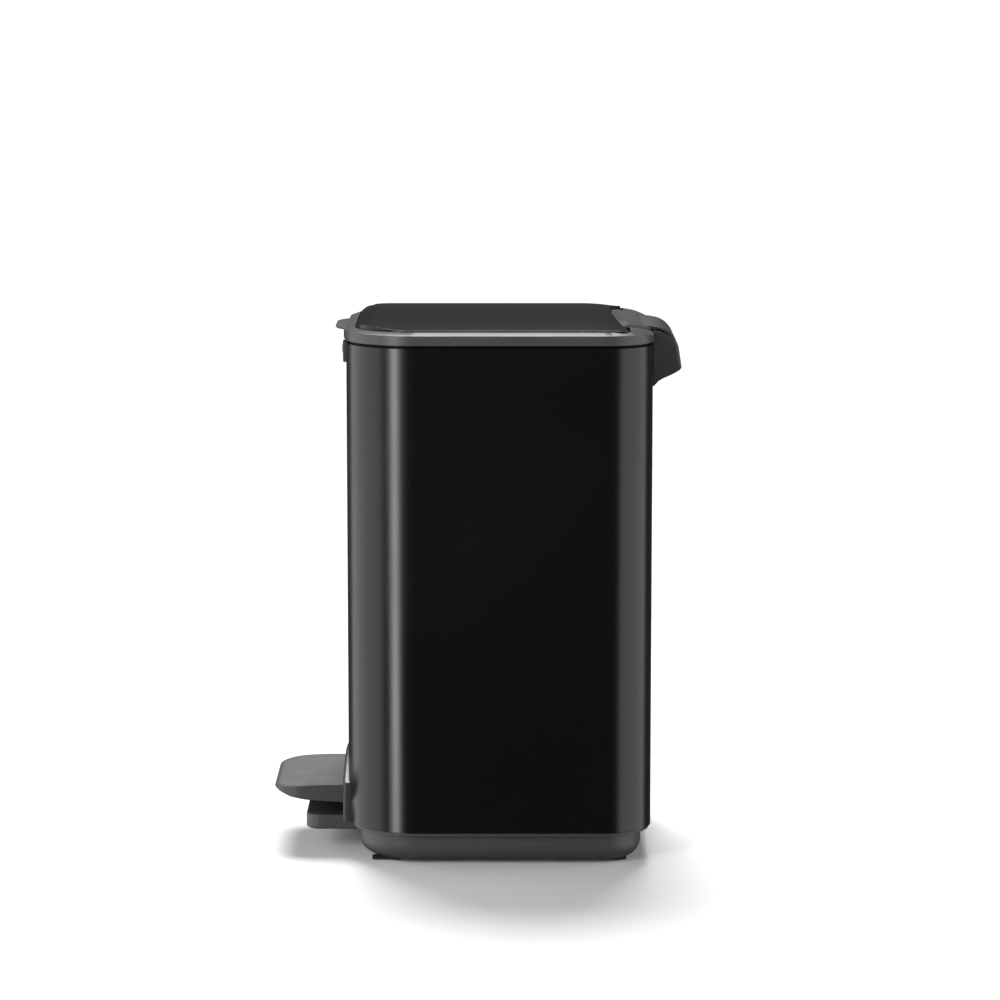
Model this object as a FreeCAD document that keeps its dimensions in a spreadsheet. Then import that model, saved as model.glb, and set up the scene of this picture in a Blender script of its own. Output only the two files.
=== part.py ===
"""Pedal bin of the 20 litre class: painted steel body, sprung foot pedal, slow-closing hinged lid.

Frame: millimetres, +Z up, the pedal at -Y and the hinge at +Y, X across.  The origin is the middle of
the footprint at floor level.  Every sub-part is drawn about the centre of the steel body and is then
placed `body_offset` along +Y, because the pedal stands out further in front than the hinge does behind.
"""
import FreeCAD, Part
import math
import os
import re

import Sketcher
from FreeCAD import Rotation, Vector

# ---------------------------------------------------------------- driving dimensions (mm, degrees)
SIZES = {
    # steel body, in plan and in height
    "body_offset": 20.3, "half_width": 125.0, "half_depth": 135.0,
    "front_radius": 62.0, "rear_radius": 43.0,
    "shell_bottom": 31.0, "shell_top": 462.0, "flush": 0.0, "steel": 1.2, "hem_inset": 2.7,
    "hem_height": 2.5, "through": 40.0,
    # plastic collar inside the top of the shell
    "collar_inset": 2.9, "collar_inner": 5.0, "collar_bottom": 440.0, "collar_lip_inset": 2.2,
    "collar_lip": 1.0, "ledge_inner": 10.0, "ledge_bottom": 455.5, "ledge_top": 458.5,
    "notch_half": 30.0, "notch_front": 121.5, "notch_bottom": 438.0,
    # base
    "tub_inset": 9.0, "tub_inner": 11.5, "tub_bottom": 2.2, "tub_floor": 5.2, "tub_round": 16.0,
    "tub_step": 18.6, "pan_inset": 24.0,
    "flange_inset": 2.0, "flange_bottom": 28.0, "spigot_inner": 5.0, "spigot_top": 45.0,
    "foot_x": 88.0, "foot_y": 100.0, "foot_length": 27.0, "foot_width": 13.0,
    # pedal opening, bezel and toe bumper
    "slot_half": 68.0, "slot_bottom": 33.0, "slot_top": 66.0, "slot_depth": 18.0,
    "bezel_half": 76.0, "bezel_front": 139.8, "bezel_crown": 83.0, "bezel_shoulder": 66.0,
    "bezel_back": 120.0,
    "bumper_half": 60.0, "bumper_front": 174.0, "bumper_step": 140.2, "bumper_bottom": 19.6,
    "bumper_top": 33.4, "bumper_shelf": 27.8, "bumper_round": 13.0,
    # pedal and its lever
    "axle_y": 30.0, "axle_z": 25.0, "axle_radius": 3.0, "axle_half": 46.0, "running_gap": 0.06,
    "pedal_half": 66.0, "pedal_tip": 202.5, "pedal_root": 131.0, "pedal_top": 62.0,
    "pedal_nose_top": 57.8, "pedal_nose_low": 55.8, "pedal_round": 30.0, "pedal_brow": 184.0,
    "pedal_under_root": 45.0, "pedal_under_mid": 48.0, "pedal_mid": 174.0, "pedal_chin": 196.0,
    "pedal_under_chin": 53.4,
    "lever_half": 22.0, "lever_front": 196.0, "lever_top": 54.0, "lever_gauge": 4.0,
    "lever_bend": 124.0, "lever_knee": 60.0, "lever_deck": 31.0, "lever_rise": 62.0,
    "lever_heel_start": 100.0, "lever_heel": 128.5, "lever_heel_top": 38.0, "hub_radius": 6.5,
    "tread_half": 56.0, "tread_rear": 146.0, "tread_front": 184.0, "tread_depth": 1.0,
    "tread_proud": 0.5,
    "bracket_inner": 31.0, "bracket_outer": 41.0, "bracket_half": 9.0, "bracket_foot": 22.0,
    "bracket_gauge": 3.0, "bracket_top": 32.0,
    "spring_inner": 3.8, "spring_outer": 6.4, "spring_start": 23.0, "spring_end": 30.0,
    "screw_radius": 1.8, "screw_head": 3.6, "screw_height": 2.4, "bracket_screw": 16.0,
    "pedal_screw_front": 178.0, "pedal_screw_rear": 156.0, "pedal_screw_top": 58.0,
    # push rod
    "rod_y": 127.0, "rod_radius": 2.5, "rod_bottom": 38.4, "rod_top": 441.6,
    "head_half": 7.0, "head_front": 123.5, "head_rear": 135.4, "head_top": 445.6,
    "guide_half": 10.0, "guide_front": 122.4, "guide_height": 12.0,
    "guide_low": 100.0, "guide_high": 385.0,
    # hinge and rear housing
    "hinge_y": 143.5, "hinge_z": 457.5, "pin_radius": 3.0, "pin_half": 53.7,
    "housing_half": 54.2, "housing_inner": 50.7, "housing_front": 136.5, "housing_rear": 161.9,
    "housing_low_front": 420.5, "housing_low_rear": 436.0, "housing_arch_y": 148.0,
    "housing_arch_z": 428.5, "housing_lip": 455.8, "housing_lip_y": 160.9,
    "housing_crown_y": 154.5, "housing_crown_z": 467.6, "housing_peak_z": 473.0,
    "cavity_rear": 160.0, "cavity_floor": 441.0, "grip_roof": 438.0, "grip_front": 138.7,
    "grip_rear": 159.4, "pad_half": 46.0, "pad_bottom": 424.5, "housing_screw_x": 38.0,
    "housing_screw_z": 432.5, "housing_screw_tip": 138.7,
    # lid
    "lid_grow": -0.8, "lid_bottom": 464.0, "lid_side_top": 472.0, "lid_top": 474.5,
    "lid_taper": 72.6, "panel_half": 117.0, "panel_front": 126.0, "panel_rear": 113.3,
    "panel_front_radius": 54.0, "panel_rear_radius": 8.0, "panel_gap": -1.5, "panel_bottom": 471.0,
    "panel_edge": 476.0, "panel_crown": 486.5, "panel_flat_y": 104.0, "panel_nose_edge": 475.6,
    "liner_front_radius": 56.0, "liner_rear_radius": 22.0,
    "panel_skin": 1.6, "panel_wall": 2.0, "panel_mid_rear": 99.4, "recess_floor": 470.8,
    "opening_inset": 8.0, "tab_half": 27.0, "tab_front": 146.0, "tab_thick": 3.6,
    "liner_inset": 8.3, "liner_gauge": 2.5, "lip_outer": 12.0, "lip_inner": 14.4, "lip_drop": 459.5,
    "seal_outer": 2.4, "seal_inner": 4.8, "seal_bottom": 463.4,
    "hood_half": 50.0, "hood_radius": 16.0, "hood_skin": 2.5, "hood_front": 114.9,
    "hood_front_z": 478.0, "hood_ridge_y": 123.0, "hood_ridge_z": 479.0, "hood_sweep": 12.0,
    "hood_start": 86.0, "hood_toe": 2.0,
    "sweep_radius": 17.8, "sweep_half": 55.0,
    "band_corner_x": 106.0, "band_corner_y": 114.2, "band_knee_x": 65.7, "band_knee_y": 106.1,
    "band_bow_x": 31.8, "band_bow_y": 102.1, "band_rear_x": 50.0, "band_rear_y": 121.4,
    "band_skin": 3.0, "band_drop": 3.2,
    "knuckle_radius": 8.0, "knuckle_inner": 28.0, "knuckle_outer": 34.0, "hanger_top": 470.6,
    "crank_half": 7.0, "crank_y": 134.5, "crank_z": 449.9, "crank_radius": 3.0, "arm_half": 1.5,
    "damper_inner": 41.8, "damper_radius": 8.2, "damper_bore": 3.4, "rotor_inner": 36.4,
    "rotor_outer": 41.3, "rotor_radius": 6.5,
    # lid lock
    "lock_half": 27.0, "lock_front": 139.6, "lock_bottom": 438.0, "lock_top": 458.0,
    "lock_round": 8.0, "track_half": 16.5, "track_low": 444.0, "track_back": 137.0,
    "slider_left": 15.0, "slider_right": 3.0, "slider_low": 444.6, "slider_high": 451.4,
    "slider_front": 141.3, "slider_back": 137.5, "arm_right": 11.8, "arm_front": 139.2,
    "hook_right": 6.0, "hook_low": 461.2, "hook_high": 463.0,
    "lug_left": 2.0, "lug_right": 10.0, "lug_web": 8.0, "lug_low": 458.6, "lug_foot": 460.4,
    "lug_front": 139.3, "lug_back": 136.9,
    # inner bucket
    "bucket_inset": 14.5, "bucket_inner": 17.0, "bucket_floor": 66.0, "bucket_base": 2.5,
    "rim_inset": 5.6, "rim_bottom": 458.5, "rim_top": 461.0,
    "bail_outer": 19.0, "bail_inner": 22.0, "bail_low": 450.0, "bail_high": 453.0,
    "bail_pivot": 3.0,
}

os.makedirs("parts", exist_ok=True)
doc = FreeCAD.newDocument("pedal_bin")
sheet = doc.addObject("Spreadsheet::Sheet", "Sheet")
for row, (alias, value) in enumerate(SIZES.items(), start=1):
    sheet.set(f"A{row}", alias)
    sheet.set(f"B{row}", str(value))
    sheet.setAlias(f"B{row}", alias)
doc.recompute()

NODES = []


# ---------------------------------------------------------------- drawing helpers
def formula(text):
    """Turn a sum of cell names and numbers into the sheet's own expression; sin and cos stay as they are."""
    return re.sub(r"\b(?!sin\b|cos\b)[a-z][a-z_]+", lambda found: "Sheet." + found.group(), text)


def bind(thing, path, text):
    """Bind one property of a document object to a formula."""
    thing.setExpression(path, formula(text))


def node(thing, label):
    """Name a finished sub-part and place it along Y with the rest of the bin."""
    if thing.TypeId in ("Part::Box", "Part::Cylinder"):
        thing = group(thing.Name + "Placed", [thing])
    thing.Label = label
    bind(thing, "Placement.Base.y", "body_offset")
    NODES.append(thing)
    return thing


def new_body(name):
    """Start an empty body."""
    return doc.addObject("PartDesign::Body", name)


def new_sketch(body, name, role="XY_Plane", offset="flush"):
    """A sketch on one of the body's own planes, moved `offset` along that plane's normal."""
    sketch = body.newObject("Sketcher::SketchObject", name)
    plane = next(item for item in body.Origin.OriginFeatures if item.Role == role)
    sketch.AttachmentSupport = [(plane, "")]
    sketch.MapMode = "FlatFace"
    bind(sketch, "AttachmentOffset.Base.z", offset)
    return sketch


def dimension(sketch, kind, places, text):
    """One driving dimension: a sketch constraint, first as drawn, bound to a formula."""
    if kind == "Radius":
        drawn = sketch.Geometry[places[0]].Radius
    else:
        span = sketch.getPoint(places[2], places[3]) - sketch.getPoint(places[0], places[1])
        drawn = span.x if kind == "DistanceX" else span.y
    index = sketch.addConstraint(Sketcher.Constraint(kind, *places, drawn))
    bind(sketch, f"Constraints[{index}]", text)


# the plan outlines: half width, front, rear, front corner radius, rear corner radius
BODY_PLAN = ("half_width", "half_depth", "half_depth", "front_radius", "rear_radius")
PANEL_PLAN = ("panel_half", "panel_front", "panel_rear", "panel_front_radius", "panel_rear_radius")
LINER_PLAN = ("panel_half", "panel_front", "panel_rear", "liner_front_radius", "liner_rear_radius")
PEDAL_PLAN = ("pedal_half", "pedal_tip", "half_depth", "pedal_round", "panel_rear_radius")


def outline(sketch, inset, plan=BODY_PLAN):
    """Plan outline: flat front, rear and sides joined by quarter arcs, moved inwards by `inset`."""
    half, front, rear, front_round, rear_round = (SIZES[name] - SIZES[inset] for name in plan)
    first = sketch.GeometryCount
    corners = [(half, -front, front_round, -90), (half, rear, rear_round, 0),
               (-half, rear, rear_round, 90), (-half, -front, front_round, 180)]
    ends = []
    for x, y, radius, start in corners:
        centre = Vector(x - math.copysign(radius, x), y - math.copysign(radius, y), 0)
        turn = [math.radians(start), math.radians(start + 90)]
        ends.append((centre, radius, turn,
                     [centre + Vector(math.cos(a), math.sin(a), 0) * radius for a in turn]))
    for i, (centre, radius, turn, points) in enumerate(ends):
        before = ends[i - 1][3][1]
        sketch.addGeometry(Part.LineSegment(before, points[0]))
        circle = Part.Circle(centre, Vector(0, 0, 1), radius)
        sketch.addGeometry(Part.ArcOfCircle(circle, turn[0], turn[1]))
    line = [first + 2 * i for i in range(4)]
    arc = [first + 2 * i + 1 for i in range(4)]
    for i in range(4):
        sketch.addConstraint(Sketcher.Constraint("Tangent", line[i], 2, arc[i], 1))
        sketch.addConstraint(Sketcher.Constraint("Tangent", arc[i], 2, line[(i + 1) % 4], 1))
    for flat in (line[0], line[2]):
        sketch.addConstraint(Sketcher.Constraint("Symmetric", flat, 1, flat, 2, -2))
    for side in (line[1], line[3]):
        sketch.addConstraint(Sketcher.Constraint("Vertical", side))
    sketch.addConstraint(Sketcher.Constraint("Equal", arc[0], arc[3]))
    dimension(sketch, "Radius", (arc[0],), f"{plan[3]} - {inset}")
    dimension(sketch, "Radius", (arc[1],), f"{plan[4]} - {inset}")
    dimension(sketch, "DistanceX", (-1, 1, line[1], 1), f"{plan[0]} - {inset}")
    dimension(sketch, "DistanceY", (line[0], 1, -1, 1), f"{plan[1]} - {inset}")
    dimension(sketch, "DistanceY", (-1, 1, line[2], 1), f"{plan[2]} - {inset}")


def polygon(sketch, corners):
    """Closed straight-sided profile; each corner is a pair of formulas."""
    count = len(corners)
    points = [Vector(math.cos(2 * math.pi * i / count), math.sin(2 * math.pi * i / count), 0) * 100
              for i in range(count)]
    first = sketch.GeometryCount
    for i in range(count):
        sketch.addGeometry(Part.LineSegment(points[i], points[(i + 1) % count]))
    for i in range(count):
        sketch.addConstraint(Sketcher.Constraint("Coincident", first + i, 2, first + (i + 1) % count, 1))
    for i, (across, up) in enumerate(corners):
        dimension(sketch, "DistanceX", (-1, 1, first + i, 1), across)
        dimension(sketch, "DistanceY", (-1, 1, first + i, 1), up)


def rectangle(sketch, left, right, low, high):
    """Draw a rectangle between four formulas."""
    polygon(sketch, [(left, low), (right, low), (right, high), (left, high)])


def pad(body, sketch, length, midplane=False, taper=None):
    """Build up from the sketch along its plane's normal, or evenly to both sides."""
    feature = body.newObject("PartDesign::Pad", "Pad")
    feature.Profile = sketch
    feature.Midplane = midplane
    bind(feature, "Length", length)
    if taper:
        bind(feature, "TaperAngle", taper)
    return feature


def pocket(body, sketch, length, midplane=False, upwards=False):
    """Cut away from the sketch, towards its own plane's back, or towards its normal if `upwards`."""
    feature = body.newObject("PartDesign::Pocket", "Pocket")
    feature.Profile = sketch
    feature.Midplane = midplane
    feature.Reversed = upwards
    bind(feature, "Length", length)
    return feature


def ring(body, name, outer, inner, low, height, plan=BODY_PLAN):
    """Upright wall between two outlines, from `low` upwards."""
    sketch = new_sketch(body, name, offset=low)
    outline(sketch, outer, plan)
    outline(sketch, inner, plan)
    return pad(body, sketch, height)


def plate(body, name, edge, low, height, plan=BODY_PLAN, taper=None):
    """Solid slab inside one outline, from `low` upwards."""
    sketch = new_sketch(body, name, offset=low)
    outline(sketch, edge, plan)
    return pad(body, sketch, height, taper=taper)


def well(body, name, edge, top, depth, plan=BODY_PLAN):
    """Hollow inside one outline, from `top` downwards."""
    sketch = new_sketch(body, name, offset=top)
    outline(sketch, edge, plan)
    return pocket(body, sketch, depth)


def notch(body, name, across, along, low, height):
    """Upright cut with a rectangular plan, from `low` upwards."""
    sketch = new_sketch(body, name, offset=low)
    rectangle(sketch, across[0], across[1], along[0], along[1])
    return pocket(body, sketch, height, upwards=True)


def side_profile(body, name, corners, width, cut=False):
    """Profile in the YZ plane, carried evenly to both sides of the middle."""
    sketch = new_sketch(body, name, role="YZ_Plane")
    polygon(sketch, corners)
    return (pocket if cut else pad)(body, sketch, width, midplane=True)


def block(name, across, along, up):
    """Rectangular block between three pairs of formulas."""
    solid = doc.addObject("Part::Box", name)
    for size, axis, (low, high) in (("Length", "x", across), ("Width", "y", along), ("Height", "z", up)):
        bind(solid, size, f"({high}) - ({low})")
        bind(solid, f"Placement.Base.{axis}", low)
    return solid


TURNS = {"x": Rotation(Vector(0, 1, 0), 90), "y": Rotation(Vector(1, 0, 0), -90), "z": Rotation()}


def bar(name, radius, start, length, axis="z"):
    """Round bar from the point `start`, a triple of formulas, along +`axis`."""
    solid = doc.addObject("Part::Cylinder", name)
    solid.Placement.Rotation = TURNS[axis]
    bind(solid, "Radius", radius)
    bind(solid, "Height", length)
    for letter, text in zip("xyz", start):
        bind(solid, f"Placement.Base.{letter}", text)
    return solid


def fuse(name, *solids):
    """Join solids into one."""
    joined = doc.addObject("Part::MultiFuse", name)
    joined.Shapes = list(solids)
    return joined


def cut(name, base, tool):
    """Take the tool's solid away from the base."""
    left = doc.addObject("Part::Cut", name)
    left.Base = base
    left.Tool = tool
    return left


def group(name, solids):
    """Separate identical solids that share one node."""
    together = doc.addObject("Part::Compound", name)
    together.Links = solids
    return together


def round_edges(body, radius, chosen, name="Fillet"):
    """Round the edges of the body's last feature that `chosen` accepts."""
    doc.recompute()
    last = body.Tip
    names = [f"Edge{i}" for i, edge in enumerate(last.Shape.Edges, start=1) if chosen(edge)]
    fillet = body.newObject("PartDesign::Fillet", name)
    fillet.Base = (last, names)
    bind(fillet, "Radius", radius)
    return fillet


def flat_at(height, tolerance=0.01):
    """Accepts the edges that lie level at `height`."""
    def chosen(edge):
        box = edge.BoundBox
        return abs(box.ZMin - height) < tolerance and abs(box.ZMax - height) < tolerance
    return chosen


def upright_at(x, y, tolerance=0.5):
    """Accepts the upright edges at plus or minus `x` and at `y`."""
    def chosen(edge):
        box = edge.BoundBox
        thin = box.XLength < tolerance and box.YLength < tolerance and box.ZLength > tolerance
        return thin and abs(abs(box.Center.x) - x) < tolerance and abs(box.Center.y - y) < tolerance
    return chosen


# ---------------------------------------------------------------- fixed body
def outer_shell():
    """Painted steel wrap with a hem at each end, the pedal's opening and the hinge's opening."""
    body = new_body("OuterShell")
    ring(body, "ShellWall", "flush", "steel", "shell_bottom", "shell_top - shell_bottom")
    ring(body, "LowerHem", "steel", "hem_inset", "shell_bottom", "hem_height")
    ring(body, "UpperHem", "steel", "hem_inset", "shell_top - hem_height", "hem_height")
    notch(body, "PedalOpening", ("-slot_half", "slot_half"),
          ("-half_depth - slot_depth", "-half_depth + slot_depth"), "slot_bottom", "slot_top - slot_bottom")
    notch(body, "HingeOpening", ("-notch_half", "notch_half"), ("notch_front", "half_depth + through"),
          "notch_bottom", "through")
    holes = group("HousingHoles", [
        bar(f"ShellHole{side}", "screw_radius",
            (f"{side} * housing_screw_x", "notch_front", "housing_screw_z"), "through", "y")
        for side in (-1, 1)])
    node(cut("ShellCut", body, holes), "outer_shell")


def top_collar():
    """Plastic collar that lines the top of the shell and carries the bucket."""
    body = new_body("TopCollar")
    ring(body, "CollarWall", "collar_inset", "collar_inner", "collar_bottom", "shell_top - collar_bottom")
    ring(body, "CollarLip", "collar_lip_inset", "collar_inner", "shell_top", "collar_lip")
    ring(body, "BucketLedge", "collar_inner", "ledge_inner", "ledge_bottom", "ledge_top - ledge_bottom")
    notch(body, "RodNotch", ("-notch_half", "notch_half"), ("notch_front", "half_depth + through"),
          "notch_bottom", "through")
    node(body, "top_collar")


def base_tray():
    """Rounded tub with a flange and a spigot that the shell sits on and round."""
    body = new_body("BaseTray")
    plate(body, "Tub", "tub_inset", "tub_bottom", "flange_bottom - tub_bottom")
    round_edges(body, "tub_round", flat_at(SIZES["tub_bottom"]), "TubRounding")
    plate(body, "Flange", "flange_inset", "flange_bottom", "shell_bottom - flange_bottom")
    ring(body, "Spigot", "collar_inset", "spigot_inner", "shell_bottom", "spigot_top - shell_bottom")
    well(body, "TubWell", "tub_inner", "shell_bottom", "shell_bottom - tub_step")
    well(body, "TubPan", "pan_inset", "tub_step", "tub_step - tub_floor")
    notch(body, "PedalGap", ("-slot_half - steel", "slot_half + steel"),
          ("-half_depth - slot_depth", "-half_depth + slot_depth"), "shell_bottom", "through")
    node(body, "base_tray")


def feet():
    """Four rubber feet under the tub."""
    for label, x_side, y_side in (("foot_front_left", -1, -1), ("foot_front_right", 1, -1),
                                  ("foot_rear_left", -1, 1), ("foot_rear_right", 1, 1)):
        body = new_body(label.title().replace("_", ""))
        sketch = new_sketch(body, "FootPlan" + body.Name)
        rectangle(sketch, f"{x_side} * foot_x - foot_width / 2", f"{x_side} * foot_x + foot_width / 2",
                  f"{y_side} * foot_y - foot_length / 2", f"{y_side} * foot_y + foot_length / 2")
        pad(body, sketch, "tub_bottom")
        round_edges(body, "foot_width / 3", lambda edge: edge.BoundBox.ZLength > 1)
        node(body, label)


def pedal_bezel():
    """Arched surround of the pedal's opening, shaped to the shell behind it."""
    body = new_body("PedalBezel")
    sketch = new_sketch(body, "BezelPlate", role="XZ_Plane", offset="bezel_front")
    half, shoulder, crown = SIZES["bezel_half"], SIZES["bezel_shoulder"], SIZES["bezel_crown"]
    low = SIZES["shell_bottom"]
    sketch.addGeometry(Part.LineSegment(Vector(-half, low, 0), Vector(half, low, 0)))
    sketch.addGeometry(Part.LineSegment(Vector(half, low, 0), Vector(half, shoulder, 0)))
    sketch.addGeometry(Part.Arc(Vector(half, shoulder, 0), Vector(0, crown, 0), Vector(-half, shoulder, 0)))
    sketch.addGeometry(Part.LineSegment(Vector(-half, shoulder, 0), Vector(-half, low, 0)))
    for end in ((0, 2, 1, 1), (1, 2, 2, 1), (2, 2, 3, 1), (3, 2, 0, 1)):
        sketch.addConstraint(Sketcher.Constraint("Coincident", *end))
    sketch.addConstraint(Sketcher.Constraint("Symmetric", 0, 1, 0, 2, -2))
    for side in (1, 3):
        sketch.addConstraint(Sketcher.Constraint("Vertical", side))
    sketch.addConstraint(Sketcher.Constraint("Equal", 1, 3))
    dimension(sketch, "DistanceX", (-1, 1, 0, 2), "bezel_half")
    dimension(sketch, "DistanceY", (-1, 1, 0, 2), "shell_bottom")
    dimension(sketch, "DistanceY", (-1, 1, 1, 2), "bezel_shoulder")
    rise = "(bezel_crown - bezel_shoulder)"
    dimension(sketch, "Radius", (2,), f"(bezel_half * bezel_half + {rise} * {rise}) / (2 * {rise})")
    plate_feature = pad(body, sketch, "bezel_front - bezel_back")
    plate_feature.Reversed = True
    window = new_sketch(body, "BezelWindow", role="XZ_Plane", offset="bezel_front + steel")
    rectangle(window, "-slot_half", "slot_half", "slot_bottom", "slot_top")
    pocket(body, window, "bezel_front")
    core_body = new_body("BezelCore")
    plate(core_body, "BezelCorePlan", "flush", "flush", "shell_top")
    node(cut("BezelCut", body, core_body), "pedal_bezel")


def toe_bumper():
    """Stop under the pedal, stepped at its root."""
    body = new_body("ToeBumper")
    side_profile(body, "BumperSide", [
        ("-bumper_front", "bumper_bottom"), ("-half_depth + tub_inset", "bumper_bottom"),
        ("-half_depth + tub_inset", "bumper_shelf"), ("-bumper_step", "bumper_shelf"),
        ("-bumper_step", "bumper_top"), ("-bumper_front", "bumper_top")], "2 * bumper_half")
    round_edges(body, "bumper_round", upright_at(SIZES["bumper_half"], -SIZES["bumper_front"]))
    node(body, "toe_bumper")


# ---------------------------------------------------------------- pedal
def pedal_lever():
    """Cranked steel lever from the pedal to the heel under the push rod."""
    body = new_body("PedalLever")
    side_profile(body, "LeverSide", [
        ("-lever_front", "lever_top"), ("-lever_front", "lever_top - lever_gauge"),
        ("-lever_bend", "lever_top - lever_gauge"), ("-lever_knee", "lever_deck - lever_gauge"),
        ("lever_rise", "lever_deck - lever_gauge"), ("lever_heel_start", "lever_heel_top - lever_gauge"),
        ("lever_heel", "lever_heel_top - lever_gauge"), ("lever_heel", "lever_heel_top"),
        ("lever_heel_start", "lever_heel_top"), ("lever_rise", "lever_deck"),
        ("-lever_knee", "lever_deck"), ("-lever_bend", "lever_top")], "2 * lever_half")
    hub = bar("LeverHub", "hub_radius", ("-lever_half", "-axle_y", "axle_z"), "2 * lever_half", "x")
    bores = fuse("LeverBores",
                 bar("LeverBore", "axle_radius + running_gap", ("-axle_half", "-axle_y", "axle_z"),
                     "2 * axle_half", "x"),
                 bar("LeverHoleFront", "screw_radius", ("flush", "-pedal_screw_front", "bumper_top"),
                     "through", "z"),
                 bar("LeverHoleRear", "screw_radius", ("flush", "-pedal_screw_rear", "bumper_top"),
                     "through", "z"))
    node(cut("LeverCut", fuse("LeverBlank", body, hub), bores), "pedal_lever")


def pedal_shoe():
    """Moulded foot pedal that covers the front of the lever."""
    body = new_body("PedalShoe")
    side_profile(body, "PedalSide", [
        ("-pedal_root", "pedal_under_root"), ("-pedal_root", "pedal_top"), ("-pedal_brow", "pedal_top"),
        ("-pedal_tip", "pedal_nose_top"), ("-pedal_tip", "pedal_nose_low"),
        ("-pedal_chin", "pedal_under_chin"), ("-pedal_mid", "pedal_under_mid")], "2 * pedal_half")
    side_profile(body, "LeverChannel", [
        ("-lever_front", "axle_z"), ("-bumper_step + steel", "axle_z"),
        ("-bumper_step + steel", "lever_top"), ("-lever_front", "lever_top")], "2 * lever_half", cut=True)
    side_profile(body, "RootChannel", [
        ("-bumper_step", "axle_z"), ("-pedal_root + steel", "axle_z"),
        ("-pedal_root + steel", "lever_top + tread_depth"), ("-bumper_step", "lever_top + tread_depth")],
        "2 * lever_half + tread_depth", cut=True)
    notch(body, "TreadRecess", ("-tread_half", "tread_half"), ("-tread_front", "-tread_rear"),
          "pedal_top - tread_depth", "through")
    for name, place in (("ShoeHoleFront", "pedal_screw_front"), ("ShoeHoleRear", "pedal_screw_rear")):
        sketch = new_sketch(body, name, offset="axle_z")
        sketch.addGeometry(Part.Circle(Vector(0, -SIZES[place], 0), Vector(0, 0, 1), SIZES["screw_radius"]))
        sketch.addConstraint(Sketcher.Constraint("PointOnObject", 0, 3, -2))
        dimension(sketch, "Radius", (0,), "screw_radius")
        dimension(sketch, "DistanceY", (0, 3, -1, 1), place)
        pocket(body, sketch, "pedal_screw_top - axle_z", upwards=True)
    rounded = new_body("PedalPlan")
    plate(rounded, "PedalOutline", "flush", "axle_z", "pedal_top", PEDAL_PLAN)
    shoe = doc.addObject("Part::Common", "PedalCommon")
    shoe.Base = body
    shoe.Tool = rounded
    node(shoe, "pedal_shoe")


def pedal_tread():
    """Rubber tread let into the pedal's top."""
    body = new_body("PedalTread")
    sketch = new_sketch(body, "TreadPlan", offset="pedal_top - tread_depth")
    rectangle(sketch, "-tread_half", "tread_half", "-tread_front", "-tread_rear")
    pad(body, sketch, "tread_depth + tread_proud")
    node(body, "pedal_tread")


def screw(name, place, head_at, shank, axis="z"):
    """Pan head of the screw from `head_at`, shank of `shank` length beyond it, along +`axis`."""
    moved = {"z": (place[0], place[1], f"{place[2]} + screw_height"),
             "y": (place[0], f"{place[1]} + screw_height", place[2])}[axis]
    head = bar(name + "Head", head_at, place, "screw_height", axis)
    shaft = bar(name + "Shank", "screw_radius", moved, shank, axis)
    return fuse(name, head, shaft)


def pedal_screws():
    """Two screws up through the lever into the pedal."""
    under = "lever_top - lever_gauge - screw_height"
    shank = "pedal_screw_top - lever_top + lever_gauge"
    node(group("PedalScrews", [
        screw("PedalScrewFront", ("flush", "-pedal_screw_front", under), "screw_head", shank),
        screw("PedalScrewRear", ("flush", "-pedal_screw_rear", under), "screw_head", shank)]),
        "pedal_screws")


def pedal_pivot():
    """Axle, its two brackets with their screws, and the sleeve of the return spring."""
    start, length = ("-axle_half", "-axle_y", "axle_z"), "2 * axle_half"
    node(bar("PedalAxle", "axle_radius", start, length, "x"), "pedal_axle")
    screws = []
    for side, label in ((-1, "axle_bracket_left"), (1, "axle_bracket_right")):
        near, far = ("bracket_inner", "bracket_outer") if side > 0 else ("-bracket_outer", "-bracket_inner")
        name = "BracketRight" if side > 0 else "BracketLeft"
        post = block(name + "Post", (near, far), ("-axle_y - bracket_half", "-axle_y + bracket_half"),
                     ("tub_floor", "bracket_top"))
        foot = block(name + "Foot", (near, far), ("-axle_y - bracket_foot", "-axle_y + bracket_foot"),
                     ("tub_floor", "tub_floor + bracket_gauge"))
        drills = [bar(name + "Bore", "axle_radius", start, length, "x")]
        for end in (-1, 1):
            place = (f"{side} * (bracket_inner + bracket_outer) / 2", f"-axle_y + {end} * bracket_screw")
            drills.append(bar(f"{name}Drill{end + 1}", "screw_radius", (*place, "tub_bottom"), "bracket_top"))
            head = bar(f"{name}Head{end + 1}", "screw_head", (*place, "tub_floor + bracket_gauge"),
                       "screw_height")
            shank = bar(f"{name}Shank{end + 1}", "screw_radius", (*place, "tub_floor"), "bracket_gauge")
            screws.append(fuse(f"{name}Screw{end + 1}", head, shank))
        node(cut(name, fuse(name + "Blank", post, foot), fuse(name + "Drills", *drills)), label)
    node(group("BracketScrews", screws), "bracket_screws")
    coil = bar("SpringSleeve", "spring_outer", ("spring_start", "-axle_y", "axle_z"),
               "spring_end - spring_start", "x")
    hole = bar("SpringHole", "spring_inner", ("flush", "-axle_y", "axle_z"), "through", "x")
    node(cut("ReturnSpring", coil, hole), "return_spring")


# ---------------------------------------------------------------- push rod
def push_rod():
    """Push rod with its head and its two guides."""
    node(bar("PushRod", "rod_radius", ("flush", "rod_y", "rod_bottom"), "rod_top - rod_bottom"), "push_rod")
    node(block("RodHead", ("-head_half", "head_half"), ("head_front", "head_rear"), ("rod_top", "head_top")),
         "rod_head")
    for label, low in (("rod_guide_lower", "guide_low"), ("rod_guide_upper", "guide_high")):
        name = label.title().replace("_", "")
        shape = block(name + "Block", ("-guide_half", "guide_half"), ("guide_front", "half_depth - steel"),
                      (low, f"{low} + guide_height"))
        bore = bar(name + "Bore", "rod_radius + running_gap", ("flush", "rod_y", "flush"), "shell_top")
        node(cut(name, shape, bore), label)


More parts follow.
